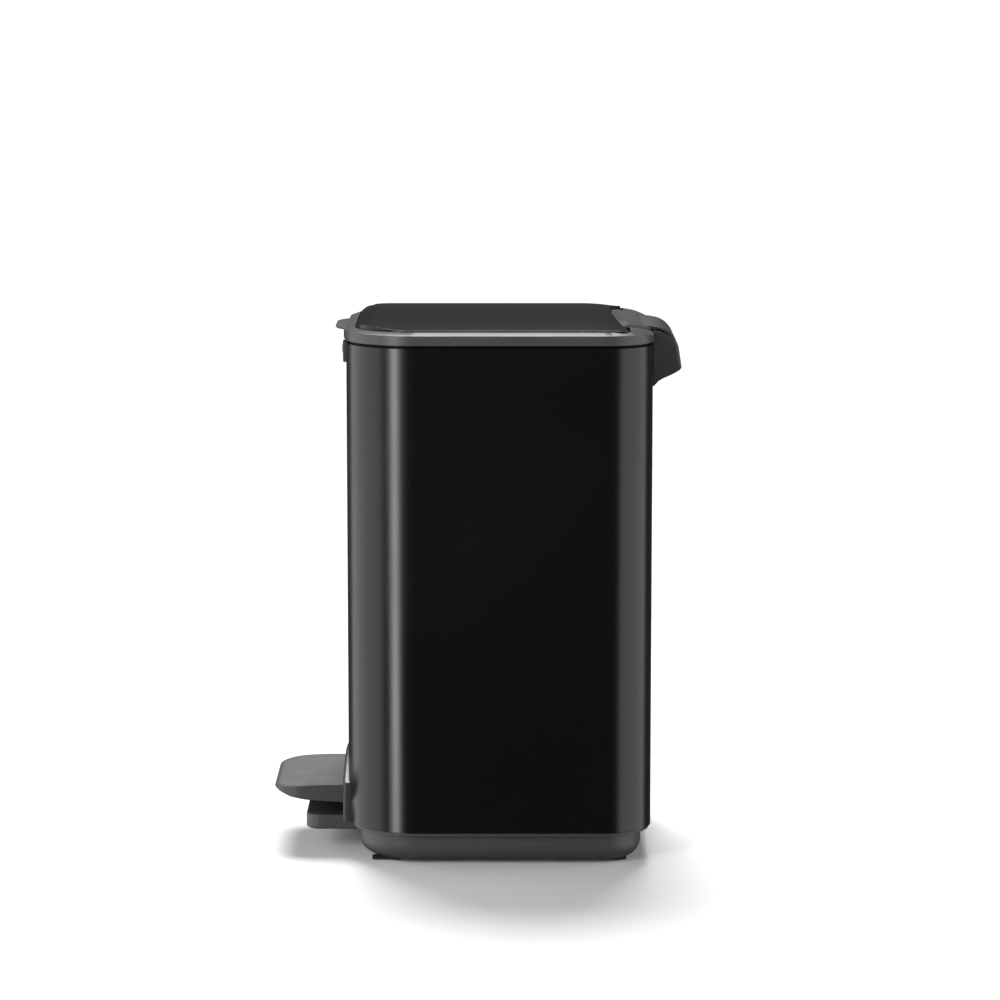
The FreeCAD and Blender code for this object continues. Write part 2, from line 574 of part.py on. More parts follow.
# ---------------------------------------------------------------- hinge
def rear_housing():
    """Fixed housing with the hinge bay above and the finger grip below, its screws and the hinge pin."""
    body = new_body("RearHousing")
    side_profile(body, "HousingSide", [
        ("housing_front", "housing_low_front"), ("housing_arch_y", "housing_arch_z"),
        ("housing_rear", "housing_low_rear"), ("housing_lip_y", "housing_lip"),
        ("housing_crown_y", "housing_crown_z"), ("housing_front", "housing_peak_z")], "2 * housing_half")
    mount = new_sketch(body, "MountPad", offset="pad_bottom")
    rectangle(mount, "-pad_half", "pad_half", "half_depth", "housing_front + steel")
    pad(body, mount, "cavity_floor - pad_bottom")
    side_profile(body, "HingeCavity", [
        ("half_depth - steel", "cavity_floor"), ("cavity_rear", "cavity_floor"),
        ("cavity_rear", "housing_lip"), ("cavity_rear + through", "housing_lip"),
        ("cavity_rear + through", "shell_top + through"), ("half_depth - steel", "shell_top + through")],
        "2 * housing_inner", cut=True)
    side_profile(body, "FingerGrip", [
        ("grip_front", "shell_bottom"), ("grip_rear", "shell_bottom"), ("grip_rear", "grip_roof"),
        ("grip_front", "grip_roof")], "2 * housing_inner", cut=True)
    drills = [bar(f"HousingDrill{side}", "screw_radius",
                  (f"{side} * housing_screw_x", "notch_front", "housing_screw_z"),
                  "housing_screw_tip - notch_front + steel", "y") for side in (-1, 1)]
    drills.append(bar("PinSeat", "pin_radius", ("-pin_half", "hinge_y", "hinge_z"), "2 * pin_half", "x"))
    node(cut("HousingCut", body, fuse("HousingDrills", *drills)), "rear_housing")
    node(group("HousingScrews", [
        screw("HousingScrewLeft", ("-housing_screw_x", "half_depth - hem_inset - steel", "housing_screw_z"),
              "screw_head", "housing_screw_tip - half_depth + hem_inset + steel - screw_height", "y"),
        screw("HousingScrewRight", ("housing_screw_x", "half_depth - hem_inset - steel", "housing_screw_z"),
              "screw_head", "housing_screw_tip - half_depth + hem_inset + steel - screw_height", "y")]),
        "housing_screws")
    node(bar("HingePin", "pin_radius", ("-pin_half", "hinge_y", "hinge_z"), "2 * pin_half", "x"), "hinge_pin")


def damper():
    """Rotary damper round the hinge pin: the fixed case and the turning wheel."""
    case = bar("DamperCase", "damper_radius", ("damper_inner", "hinge_y", "hinge_z"),
               "housing_inner - damper_inner", "x")
    case_bore = bar("DamperBore", "damper_bore", ("flush", "hinge_y", "hinge_z"), "housing_half", "x")
    node(cut("DamperBody", case, case_bore), "damper_body")
    wheel = bar("RotorWheel", "rotor_radius", ("rotor_inner", "hinge_y", "hinge_z"),
                "rotor_outer - rotor_inner", "x")
    wheel_bore = bar("RotorBore", "pin_radius + running_gap", ("flush", "hinge_y", "hinge_z"),
                     "housing_half", "x")
    node(cut("DamperRotor", wheel, wheel_bore), "damper_rotor")


def lid_hinge_bracket():
    """Two knuckles and the crank that the push rod lifts, hung from the hood on upright webs."""
    solids = []
    for side in (-1, 1):
        near, far = ("knuckle_inner", "knuckle_outer") if side > 0 else ("-knuckle_outer", "-knuckle_inner")
        name = "KnuckleRight" if side > 0 else "KnuckleLeft"
        solids.append(bar(name, "knuckle_radius", (near, "hinge_y", "hinge_z"),
                          "knuckle_outer - knuckle_inner", "x"))
        solids.append(block(name + "Web", (near, far),
                            ("hinge_y - knuckle_radius + steel", "hinge_y + crank_radius"),
                            ("hinge_z", "hanger_top")))
    solids.append(bar("CrankHub", "hub_radius", ("-knuckle_outer", "hinge_y", "hinge_z"),
                      "2 * knuckle_outer", "x"))
    solids.append(bar("CrankNose", "crank_radius", ("-crank_half", "crank_y", "crank_z"),
                      "2 * crank_half", "x"))
    arm = new_body("CrankArm")
    side_profile(arm, "CrankArmSide", [
        ("crank_y - arm_half", "crank_z + arm_half"), ("crank_y + arm_half", "crank_z - arm_half"),
        ("hinge_y + arm_half", "hinge_z - arm_half"), ("hinge_y - arm_half", "hinge_z + arm_half")],
        "2 * crank_half")
    solids.append(arm)
    bore = bar("HingeBore", "pin_radius + running_gap", ("-pin_half", "hinge_y", "hinge_z"),
               "2 * pin_half", "x")
    node(cut("HingeBracket", fuse("HingeBracketBlank", *solids), bore), "lid_hinge_bracket")


# ---------------------------------------------------------------- lid
def hinge_sweep(name):
    """Round space about the hinge line that the housing's side walls need as the lid turns."""
    return bar(name, "sweep_radius", ("-sweep_half", "hinge_y", "hinge_z"), "2 * sweep_half", "x")


def lid_frame():
    """Plastic frame round the lid panel, with the finger tab in front."""
    body = new_body("LidFrame")
    plate(body, "FrameSide", "lid_grow", "lid_bottom", "lid_side_top - lid_bottom")
    plate(body, "FrameBevel", "lid_grow", "lid_side_top", "lid_top - lid_side_top", taper="-lid_taper")
    well(body, "PanelRecess", "panel_gap", "lid_top", "lid_top - recess_floor", PANEL_PLAN)
    well(body, "Opening", "opening_inset", "lid_top", "lid_top - lid_bottom + steel", LINER_PLAN)
    tab = new_sketch(body, "FingerTab", offset="lid_side_top - tab_thick")
    rectangle(tab, "-tab_half", "tab_half", "-tab_front", "-half_depth")
    pad(body, tab, "tab_thick")
    round_edges(body, "tab_thick", upright_at(SIZES["tab_half"], -SIZES["tab_front"]))
    seat = fuse("HoodSeat", doc.getObject("HingeHood"), doc.getObject("RearBand"), hinge_sweep("FrameSweep"))
    node(cut("FrameCut", body, seat), "lid_frame")


def arch(sketch, left, right, low, high, drawn, half=False):
    """Region above a shallow arc that rises from `low` to `high`, or half of it, up to its peak.

    The four formulas bound the arc; `drawn` holds the same four numbers, as the sketch starts.
    """
    x0, x1, y0, y1 = drawn
    reach = (x1 - x0) if half else (x1 - x0) / 2
    rise = y1 - y0
    radius = (reach * reach + rise * rise) / (2 * rise)
    spread = math.asin(reach / radius)
    roof = y1 + SIZES["through"]
    circle = Part.Circle(Vector(x0 + reach, y1 - radius, 0), Vector(0, 0, 1), radius)
    end = math.pi / 2 if half else math.pi / 2 - spread
    sketch.addGeometry(Part.ArcOfCircle(circle, end, math.pi / 2 + spread))
    corners = [Vector(x0, y0, 0), Vector(x0, roof, 0), Vector(x1, roof, 0), Vector(x1, y1 if half else y0, 0)]
    for start, stop in zip(corners, corners[1:]):
        sketch.addGeometry(Part.LineSegment(start, stop))
    for pair in ((0, 2, 1, 1), (1, 2, 2, 1), (2, 2, 3, 1), (3, 2, 0, 1)):
        sketch.addConstraint(Sketcher.Constraint("Coincident", *pair))
    sketch.addConstraint(Sketcher.Constraint("Horizontal", 2))
    sketch.addConstraint(Sketcher.Constraint("Vertical", 1))
    sketch.addConstraint(Sketcher.Constraint("Vertical", 3))
    dimension(sketch, "DistanceX", (-1, 1, 1, 1), left)
    dimension(sketch, "DistanceX", (-1, 1, 3, 1), right)
    dimension(sketch, "DistanceY", (-1, 1, 1, 1), low)
    dimension(sketch, "DistanceY", (-1, 1, 3, 2), high if half else low)
    dimension(sketch, "DistanceY", (-1, 1, 1, 2), f"{high} + through")
    span = f"(({right}) - ({left}))" if half else f"((({right}) - ({left})) / 2)"
    lift = f"(({high}) - ({low}))"
    dimension(sketch, "Radius", (0,), f"({span} * {span} + {lift} * {lift}) / (2 * {lift})")


def crown_cuts(body, name, drop):
    """Cut a slab down to the lid's crown, lowered by `drop`: an arch across, and a slope to the front."""
    lowered = SIZES[drop]
    half, peak = SIZES["panel_half"], SIZES["panel_crown"] - lowered
    across = new_sketch(body, name + "Across", role="XZ_Plane")
    arch(across, "-panel_half", "panel_half", f"panel_edge - {drop}", f"panel_crown - {drop}",
         (-half, half, SIZES["panel_edge"] - lowered, peak))
    pocket(body, across, "4 * half_depth", midplane=True)
    along = new_sketch(body, name + "Along", role="YZ_Plane")
    arch(along, "-panel_front", "-panel_flat_y", f"panel_nose_edge - {drop}", f"panel_crown - {drop}",
         (-SIZES["panel_front"], -SIZES["panel_flat_y"], SIZES["panel_nose_edge"] - lowered, peak), half=True)
    pocket(body, along, "4 * half_width", midplane=True)


def crowned_slab(name, edge, low, drop):
    """Slab on the panel's plan with the lid's crown on top."""
    body = new_body(name)
    plate(body, name + "Plan", edge, low, "panel_crown - panel_bottom + panel_wall", PANEL_PLAN)
    crown_cuts(body, name, drop)
    return body


def rear_sweep(name, inset):
    """Prism behind the curved rear edge of the lid panel, moved forwards by `inset`."""
    body = new_body(name)
    sketch = new_sketch(body, name + "Plan", offset="lid_bottom")
    bulge = SIZES["panel_rear"] - SIZES["panel_mid_rear"]
    low = SIZES["panel_rear"] - SIZES[inset]
    half, top = SIZES["panel_half"], SIZES["panel_rear"] + SIZES["through"]
    middle = Vector(0, low - bulge, 0)
    sketch.addGeometry(Part.Arc(Vector(-half, low, 0), middle, Vector(half, low, 0)))
    sketch.addGeometry(Part.LineSegment(Vector(half, low, 0), Vector(half, top, 0)))
    sketch.addGeometry(Part.LineSegment(Vector(half, top, 0), Vector(-half, top, 0)))
    sketch.addGeometry(Part.LineSegment(Vector(-half, top, 0), Vector(-half, low, 0)))
    for end in ((0, 2, 1, 1), (1, 2, 2, 1), (2, 2, 3, 1), (3, 2, 0, 1)):
        sketch.addConstraint(Sketcher.Constraint("Coincident", *end))
    sketch.addConstraint(Sketcher.Constraint("Symmetric", 2, 1, 2, 2, -2))
    for side in (1, 3):
        sketch.addConstraint(Sketcher.Constraint("Vertical", side))
    sketch.addConstraint(Sketcher.Constraint("Equal", 1, 3))
    dimension(sketch, "DistanceX", (-1, 1, 1, 1), "panel_half")
    dimension(sketch, "DistanceY", (-1, 1, 1, 1), f"panel_rear - {inset}")
    dimension(sketch, "DistanceY", (-1, 1, 1, 2), "panel_rear + through")
    rise = "(panel_rear - panel_mid_rear)"
    dimension(sketch, "Radius", (0,), f"(panel_half * panel_half + {rise} * {rise}) / (2 * {rise})")
    pad(body, sketch, "through")
    return body


def lid_panel():
    """Hollow crowned panel with its curved rear edge."""
    outer = cut("PanelOuter", crowned_slab("PanelSlab", "flush", "panel_bottom", "flush"),
                rear_sweep("PanelRearEdge", "flush"))
    hollow = crowned_slab("PanelHollow", "panel_wall", "lid_bottom + hem_height", "panel_skin")
    inner = cut("PanelInner", hollow, rear_sweep("HollowRearEdge", "panel_wall"))
    node(cut("LidPanel", outer, inner), "lid_panel")


def lid_liner():
    """Plate under the lid with the lip that hangs inside the bucket."""
    body = new_body("LidLiner")
    plate(body, "LinerPlate", "liner_inset", "lid_bottom", "liner_gauge", LINER_PLAN)
    ring(body, "DripLip", "lip_outer", "lip_inner", "lip_drop", "lid_bottom - lip_drop", LINER_PLAN)
    node(body, "lid_liner")


def lid_seal():
    """Soft ring between the lid and the collar."""
    body = new_body("LidSeal")
    ring(body, "SealRing", "seal_outer", "seal_inner", "seal_bottom", "lid_bottom - seal_bottom")
    notch(body, "SealGap", ("-sweep_half", "sweep_half"), ("notch_front", "half_depth + through"),
          "notch_bottom", "through")
    node(body, "lid_seal")


def hinge_hood():
    """Hood over the hinge, rolled about the hinge line, with the raised band behind the lid panel."""
    body = new_body("HingeHood")
    centre = Vector(SIZES["hinge_y"], SIZES["hinge_z"], 0)
    sketch = new_sketch(body, "HoodSide", role="YZ_Plane")

    def on_arc(radius, degrees):
        turn = math.radians(degrees)
        return centre + Vector(math.cos(turn), math.sin(turn), 0) * radius

    low, high = -SIZES["hood_sweep"], SIZES["hood_start"]
    outer, inner = SIZES["hood_radius"], SIZES["hood_radius"] - SIZES["hood_skin"]
    points = [Vector(SIZES["hood_front"], SIZES["lid_top"], 0),
              Vector(SIZES["hood_front"], SIZES["hood_front_z"], 0),
              Vector(SIZES["hood_ridge_y"], SIZES["hood_ridge_z"], 0), on_arc(outer, high)]
    back = [on_arc(inner, low), on_arc(inner, high),
            Vector(SIZES["half_depth"], SIZES["lid_top"] - SIZES["hood_toe"], 0),
            Vector(SIZES["half_depth"], SIZES["lid_top"], 0)]
    for start, end in zip(points, points[1:]):
        sketch.addGeometry(Part.LineSegment(start, end))
    circle = Part.Circle(centre, Vector(0, 0, 1), outer)
    sketch.addGeometry(Part.ArcOfCircle(circle, math.radians(low), math.radians(high)))
    sketch.addGeometry(Part.LineSegment(on_arc(outer, low), back[0]))
    circle = Part.Circle(centre, Vector(0, 0, 1), inner)
    sketch.addGeometry(Part.ArcOfCircle(circle, math.radians(low), math.radians(high)))
    for start, end in zip(back[1:], back[2:] + [points[0]]):
        sketch.addGeometry(Part.LineSegment(start, end))
    joints = ((0, 2, 1, 1), (1, 2, 2, 1), (2, 2, 3, 2), (3, 1, 4, 1), (4, 2, 5, 1), (5, 2, 6, 1),
              (6, 2, 7, 1), (7, 2, 8, 1), (8, 2, 0, 1))
    for end in joints:
        sketch.addConstraint(Sketcher.Constraint("Coincident", *end))
    sketch.addConstraint(Sketcher.Constraint("Coincident", 3, 3, 5, 3))
    dimension(sketch, "DistanceX", (-1, 1, 3, 3), "hinge_y")
    dimension(sketch, "DistanceY", (-1, 1, 3, 3), "hinge_z")
    dimension(sketch, "Radius", (3,), "hood_radius")
    dimension(sketch, "Radius", (5,), "hood_radius - hood_skin")
    dimension(sketch, "DistanceX", (-1, 1, 0, 1), "hood_front")
    dimension(sketch, "DistanceY", (-1, 1, 0, 1), "lid_top")
    dimension(sketch, "DistanceX", (-1, 1, 1, 1), "hood_front")
    dimension(sketch, "DistanceY", (-1, 1, 1, 1), "hood_front_z")
    dimension(sketch, "DistanceX", (-1, 1, 2, 1), "hood_ridge_y")
    dimension(sketch, "DistanceY", (-1, 1, 2, 1), "hood_ridge_z")
    for arc, radius in ((3, "hood_radius"), (5, "(hood_radius - hood_skin)")):
        dimension(sketch, "DistanceX", (-1, 1, arc, 2), f"hinge_y + {radius} * cos(hood_start)")
        dimension(sketch, "DistanceY", (-1, 1, arc, 1), f"hinge_z - {radius} * sin(hood_sweep)")
    dimension(sketch, "DistanceX", (-1, 1, 7, 1), "half_depth")
    dimension(sketch, "DistanceY", (-1, 1, 7, 1), "lid_top - hood_toe")
    dimension(sketch, "DistanceX", (-1, 1, 8, 1), "half_depth")
    dimension(sketch, "DistanceY", (-1, 1, 8, 1), "lid_top")
    pad(body, sketch, "2 * hood_half", midplane=True)
    band = new_body("RearBand")
    plan = new_sketch(band, "BandPlan", offset="lid_top - band_skin")
    polygon(plan, [("-band_corner_x", "band_corner_y"), ("-band_knee_x", "band_knee_y"),
                   ("-band_bow_x", "band_bow_y"), ("band_bow_x", "band_bow_y"),
                   ("band_knee_x", "band_knee_y"), ("band_corner_x", "band_corner_y"),
                   ("band_rear_x", "band_rear_y"), ("-band_rear_x", "band_rear_y")])
    pad(band, plan, "through")
    crown_cuts(band, "Band", "band_drop")
    node(fuse("HoodAndBand", body, band), "hinge_hood")


# ---------------------------------------------------------------- lid lock
def lid_lock():
    """Plate, slider and lug of the lid lock."""
    body = new_body("LockPlate")
    sketch = new_sketch(body, "LockFace", role="XZ_Plane", offset="half_depth")
    rectangle(sketch, "-lock_half", "lock_half", "lock_bottom", "lock_top")
    pad(body, sketch, "lock_front - half_depth")
    track = new_sketch(body, "LockTrack", role="XZ_Plane", offset="lock_front")
    rectangle(track, "-track_half", "track_half", "track_low", "lock_top + through")
    pocket(body, track, "lock_front - track_back")
    round_edges(body, "lock_round", lambda edge: edge.BoundBox.YLength > 3
                and abs(abs(edge.BoundBox.Center.x) - SIZES["lock_half"]) < 0.1
                and abs(edge.BoundBox.Center.z - SIZES["lock_bottom"]) < 0.1)
    node(body, "lock_plate")
    knob = block("SliderKnob", ("-slider_left", "-slider_right"), ("-slider_front", "-slider_back"),
                 ("slider_low", "slider_high"))
    arm = block("SliderArm", ("-slider_left", "-arm_right"), ("-arm_front", "-slider_back"),
                ("slider_low", "hook_high"))
    hook = block("SliderHook", ("-slider_left", "-hook_right"), ("-arm_front", "-slider_back"),
                 ("hook_low", "hook_high"))
    node(fuse("LockSlider", knob, arm, hook), "lock_slider")
    web = block("LugWeb", ("lug_web", "lug_right"), ("-lug_front", "-lug_back"),
                ("lug_low", "lid_side_top - tab_thick"))
    toe = block("LugFoot", ("lug_left", "lug_right"), ("-lug_front", "-lug_back"), ("lug_low", "lug_foot"))
    node(fuse("LockLug", web, toe), "lock_lug")


# ---------------------------------------------------------------- inner bucket
def inner_bucket():
    """Lift-out bucket with its rim, the notch for the rod and the handle's eyes."""
    body = new_body("InnerBucket")
    plate(body, "BucketBody", "bucket_inset", "bucket_floor", "rim_top - bucket_floor")
    ring(body, "BucketRim", "rim_inset", "bucket_inset", "rim_bottom", "rim_top - rim_bottom")
    well(body, "BucketWell", "bucket_inner", "rim_top", "rim_top - bucket_floor - bucket_base")
    notch(body, "BucketNotch", ("-notch_half - steel", "notch_half + steel"),
          ("notch_front - steel", "half_depth + through"), "notch_bottom", "through")
    eyes = bar("BucketEyes", "bail_pivot", ("-half_width", "flush", "(bail_low + bail_high) / 2"),
               "2 * half_width", "x")
    node(cut("Bucket", body, eyes), "inner_bucket")


def bucket_handle():
    """Handle that lies round the front half of the bucket."""
    body = new_body("BucketHandle")
    ring(body, "BailLoop", "bail_outer", "bail_inner", "bail_low", "bail_high - bail_low")
    notch(body, "BailOpenSide", ("-2 * half_width", "2 * half_width"), ("bail_pivot", "2 * half_depth"),
          "bail_low - steel", "through")
    studs = [bar(f"BailStud{side}", "bail_pivot",
                 (start, "flush", "(bail_low + bail_high) / 2"), "bail_outer - bucket_inset + steel", "x")
             for side, start in (("Left", "-half_width + bucket_inset"),
                                 ("Right", "half_width - bail_outer - steel"))]
    node(fuse("Bail", body, *studs), "bucket_handle")


for build in (outer_shell, top_collar, base_tray, feet, pedal_bezel, toe_bumper, pedal_lever, pedal_shoe,
              pedal_tread, pedal_screws, pedal_pivot, push_rod, rear_housing, damper, lid_hinge_bracket,
              hinge_hood, lid_frame, lid_panel, lid_liner, lid_seal, lid_lock, inner_bucket, bucket_handle):
    build()
doc.recompute()

faults = [f"{thing.Name}: {thing.State}" for thing in doc.Objects
          if "Invalid" in thing.State or "Error" in thing.State]
faults += [thing.Label for thing in NODES if thing.Shape.isNull() or not thing.Shape.isValid()]
if faults:
    raise RuntimeError("failed objects: " + ", ".join(faults))
for thing in NODES:
    thing.Shape.exportStep(f"parts/{thing.Label}.step")
    print(thing.Label, round(thing.Shape.Volume), len(thing.Shape.Solids))
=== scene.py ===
"""Pedal bin: the detailed shells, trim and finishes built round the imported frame.

All sizes are metres in the frame's own axes: +Z up, the pedal at -Y, the hinge at +Y.  Each sub-assembly
is a class that holds its sizes, builds its pieces and dresses them in their finishes.
"""
import logging
import math
from contextlib import contextmanager
from dataclasses import dataclass, field
from enum import Enum
from typing import Callable, Iterator, Sequence

import bpy
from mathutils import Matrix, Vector


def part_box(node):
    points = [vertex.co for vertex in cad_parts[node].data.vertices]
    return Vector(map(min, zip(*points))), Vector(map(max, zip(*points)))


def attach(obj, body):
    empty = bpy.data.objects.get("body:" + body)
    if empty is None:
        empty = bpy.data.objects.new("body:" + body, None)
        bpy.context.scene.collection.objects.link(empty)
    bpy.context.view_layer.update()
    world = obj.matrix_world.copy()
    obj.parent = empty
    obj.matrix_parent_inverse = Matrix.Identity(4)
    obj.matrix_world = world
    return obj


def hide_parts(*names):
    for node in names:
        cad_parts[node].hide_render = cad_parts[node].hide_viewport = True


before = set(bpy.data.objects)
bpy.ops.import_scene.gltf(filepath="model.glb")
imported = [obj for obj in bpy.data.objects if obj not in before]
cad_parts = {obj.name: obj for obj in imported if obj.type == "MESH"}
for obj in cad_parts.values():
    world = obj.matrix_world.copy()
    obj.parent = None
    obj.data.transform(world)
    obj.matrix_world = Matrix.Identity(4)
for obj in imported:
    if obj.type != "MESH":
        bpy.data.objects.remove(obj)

LOG = logging.getLogger("pedal_bin")
MM = 0.001
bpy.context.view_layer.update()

EdgeTest = Callable[[Vector, Vector], bool]
FaceTest = Callable[[Vector, Vector], bool]
PointTest = Callable[[Vector], bool]
Line = tuple[tuple[float, float], ...]
Place = tuple[float, float, float]

ALIGNED = 0.9
HAIR = 0.01 * MM


class Element(Enum):
    """What a selection holds; the value is the edit mode's own select mode."""

    POINTS = (True, False, False)
    EDGES = (False, True, False)
    FACES = (False, False, True)


class Trim(Enum):
    """How one solid is combined with another."""

    CUT = "DIFFERENCE"
    JOIN = "UNION"
    KEEP = "INTERSECT"


def middle_of(node: str) -> Vector:
    """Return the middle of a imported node's box."""
    low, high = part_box(node)
    return (low + high) / 2


BODY_MIDDLE = middle_of("outer_shell").y
HINGE = Vector((0.0, middle_of("hinge_pin").y, middle_of("hinge_pin").z))


def at(x: float, y: float, z: float) -> Vector:
    """Return a point in the frame's metres, given in millimetres about the body's middle, on the floor."""
    return Vector((x * MM, BODY_MIDDLE + y * MM, z * MM))


def upright(way: Vector) -> bool:
    """Return whether an edge stands upright."""
    return abs(way.z) > ALIGNED * way.length


def faces_up(normal: Vector) -> bool:
    """Return whether a face looks up."""
    return normal.z > ALIGNED


@dataclass(frozen=True)
class Outline:
    """Plan outline with flat sides and rounded corners, in millimetres about the body's middle."""

    half_width: float
    front: float
    rear: float
    front_radius: float
    rear_radius: float

    def holds(self, point: Vector) -> bool:
        """Return whether a point lies inside the outline.

        Args:
            point: The point, in the frame's metres.

        Returns:
            True inside or on the outline.
        """
        x, y = abs(point.x) / MM, (point.y - BODY_MIDDLE) / MM
        radius, reach = (self.front_radius, self.front) if y < 0 else (self.rear_radius, self.rear)
        return math.hypot(max(x - self.half_width + radius, 0.0), max(abs(y) - reach + radius, 0.0)) <= radius

    def moved_in(self, inset: float) -> "Outline":
        """Return the outline that runs `inset` millimetres inside this one."""
        return Outline(self.half_width - inset, self.front - inset, self.rear - inset,
                       max(self.front_radius - inset, 1.0), max(self.rear_radius - inset, 1.0))


BODY_PLAN = Outline(125.0, 135.0, 135.0, 62.0, 43.0)
PANEL_PLAN = Outline(117.0, 126.0, 113.3, 54.0, 8.0)


class Workpiece:
    """One mesh on the bench, shaped by the edit-mode tools."""

    def __init__(self, thing: bpy.types.Object) -> None:
        """Hold a mesh object."""
        self.thing = thing

    # --- starting shapes
    @classmethod
    def block(cls, name: str, low: Vector, high: Vector) -> "Workpiece":
        """Start from a rectangular block.

        Args:
            name: Name of the piece.
            low: Its lowest corner.
            high: Its highest corner.

        Returns:
            The block.
        """
        bpy.ops.object.select_all(action="DESELECT")
        bpy.ops.mesh.primitive_cube_add(size=1.0, location=(low + high) / 2, scale=high - low)
        return cls.started(name)

    @classmethod
    def bar(cls, name: str, radius: float, start: Vector, end: Vector, sides: int = 64) -> "Workpiece":
        """Start from a round bar.

        Args:
            name: Name of the piece.
            radius: Its radius, in metres.
            start: Middle of one end.
            end: Middle of the other end.
            sides: How many flat sides make it round.

        Returns:
            The bar.
        """
        bpy.ops.object.select_all(action="DESELECT")
        way = end - start
        bpy.ops.mesh.primitive_cylinder_add(vertices=sides, radius=radius, depth=way.length,
                                            location=(start + end) / 2,
                                            rotation=way.to_track_quat("Z", "Y").to_euler())
        return cls.started(name)

    @classmethod
    def prism(cls, name: str, plan: Outline, low: float, high: float, segments: int = 24) -> "Workpiece":
        """Start from an upright prism.

        Args:
            name: Name of the piece.
            plan: Its outline from above.
            low: Height of its underside, in millimetres.
            high: Height of its top, in millimetres.
            segments: How many steps round each corner.

        Returns:
            The prism.
        """
        piece = cls.block(name, at(-plan.half_width, -plan.front, low), at(plan.half_width, plan.rear, high))
        for front, radius in ((True, plan.front_radius), (False, plan.rear_radius)):
            piece.bevel(lambda middle, way, front=front: upright(way) and (middle.y < BODY_MIDDLE) == front
                        and abs(middle.y - BODY_MIDDLE) > ALIGNED * min(plan.front, plan.rear) * MM,
                        radius, segments)
        return piece

    @classmethod
    def profile(cls, name: str, corners: Sequence[Vector], push: Vector) -> "Workpiece":
        """Start from a closed flat profile, drawn corner by corner, and push it out into a solid.

        Args:
            name: Name of the piece.
            corners: The profile's corners in order, in the frame.
            push: The way and the distance that the face is pushed.

        Returns:
            The solid.
        """
        bpy.ops.object.select_all(action="DESELECT")
        bpy.ops.mesh.primitive_plane_add(size=MM, location=corners[0])
        piece = cls.started(name)
        with piece.editing(Element.POINTS):
            bpy.ops.mesh.select_all(action="SELECT")
            bpy.ops.mesh.merge(type="CENTER")
            for here, there in zip(corners, corners[1:]):
                bpy.ops.mesh.extrude_region_move(TRANSFORM_OT_translate={"value": there - here})
            bpy.ops.mesh.select_all(action="SELECT")
            bpy.ops.mesh.edge_face_add()
            bpy.ops.mesh.extrude_region_move(TRANSFORM_OT_translate={"value": push})
        return piece.turn_outwards()

    @classmethod
    def slab(cls, name: str, line: Sequence[tuple[float, float]], half: float) -> "Workpiece":
        """Start from a side outline in millimetres, made solid from -half to +half across."""
        return cls.profile(name, [at(-half, y, z) for y, z in line], Vector((2 * half * MM, 0, 0)))

    @classmethod
    def started(cls, name: str) -> "Workpiece":
        """Take up the newly added object.

        Args:
            name: Its new name.

        Returns:
            The piece, with its place put into its mesh.
        """
        thing = bpy.context.object
        thing.name = name
        thing.data.name = name
        bpy.ops.object.transform_apply(location=True, rotation=True, scale=True)
        return cls(thing)

    # --- selection
    def focus(self) -> None:
        """Make this the only selected and the active object."""
        bpy.ops.object.select_all(action="DESELECT")
        self.thing.select_set(True)
        bpy.context.view_layer.objects.active = self.thing

    def mark(self, kind: Element, test: Callable[..., bool]) -> int:
        """Select in the mesh what the test accepts.

        Args:
            kind: Points, edges or faces.
            test: Takes a point; an edge's middle and way; or a face's middle and normal.

        Returns:
            How many were selected.
        """
        mesh = self.thing.data
        for group in (mesh.vertices, mesh.edges, mesh.polygons):
            group.foreach_set("select", [False] * len(group))
        if kind is Element.POINTS:
            chosen = [point for point in mesh.vertices if test(point.co)]
        elif kind is Element.EDGES:
            ends = [[mesh.vertices[end].co for end in edge.vertices] for edge in mesh.edges]
            chosen = [edge for edge, (start, end) in zip(mesh.edges, ends)
                      if test((start + end) / 2, end - start)]
        else:
            chosen = [face for face in mesh.polygons if test(face.center, face.normal)]
        for part in chosen:
            part.select = True
        return len(chosen)

    @contextmanager
    def editing(self, kind: Element) -> Iterator[None]:
        """Work on the mesh in edit mode, with the marked elements selected.

        Args:
            kind: Which kind of element the tools act on.

        Returns:
            Nothing, once, while the mesh is open.
        """
        self.focus()
        bpy.context.tool_settings.mesh_select_mode = kind.value
        bpy.ops.object.mode_set(mode="EDIT")
        try:
            yield
        finally:
            bpy.ops.object.mode_set(mode="OBJECT")

    # --- shaping
    def shaped(self, kind: Element, test: Callable[..., bool], tool: Callable[..., object],
               **settings: object) -> "Workpiece":
        """Use one edit-mode tool on what the test accepts.

        Args:
            kind: Points, edges or faces.
            test: As `mark` takes it.
            tool: The tool.
            settings: The tool's settings.

        Returns:
            The same piece, as every tool below does.
        """
        if self.mark(kind, test):
            with self.editing(kind):
                tool(**settings)
        return self

    def bevel(self, test: EdgeTest, width: float, segments: int) -> "Workpiece":
        """Round the chosen edges; the width is in millimetres."""
        return self.shaped(Element.EDGES, test, bpy.ops.mesh.bevel, offset=width * MM, segments=segments,
                           profile=0.5, affect="EDGES", clamp_overlap=False)

    def inset(self, test: FaceTest, thickness: float, depth: float = 0.0) -> "Workpiece":
        """Inset the chosen faces by millimetres and raise them by `depth`."""
        return self.shaped(Element.FACES, test, bpy.ops.mesh.inset, thickness=thickness * MM,
                           depth=depth * MM)

    def extrude(self, test: FaceTest, push: Vector) -> "Workpiece":
        """Push the chosen faces out, in metres."""
        return self.shaped(Element.FACES, test, bpy.ops.mesh.extrude_region_move,
                           TRANSFORM_OT_translate={"value": push})

    def move(self, test: PointTest, way: Vector) -> "Workpiece":
        """Move the chosen points, in metres."""
        return self.shaped(Element.POINTS, test, bpy.ops.transform.translate, value=way)

    def stretch(self, test: PointTest, factors: Vector, pivot: Vector) -> "Workpiece":
        """Scale the chosen points about a pivot."""
        return self.shaped(Element.POINTS, test, bpy.ops.transform.resize, value=factors,
                           center_override=pivot)

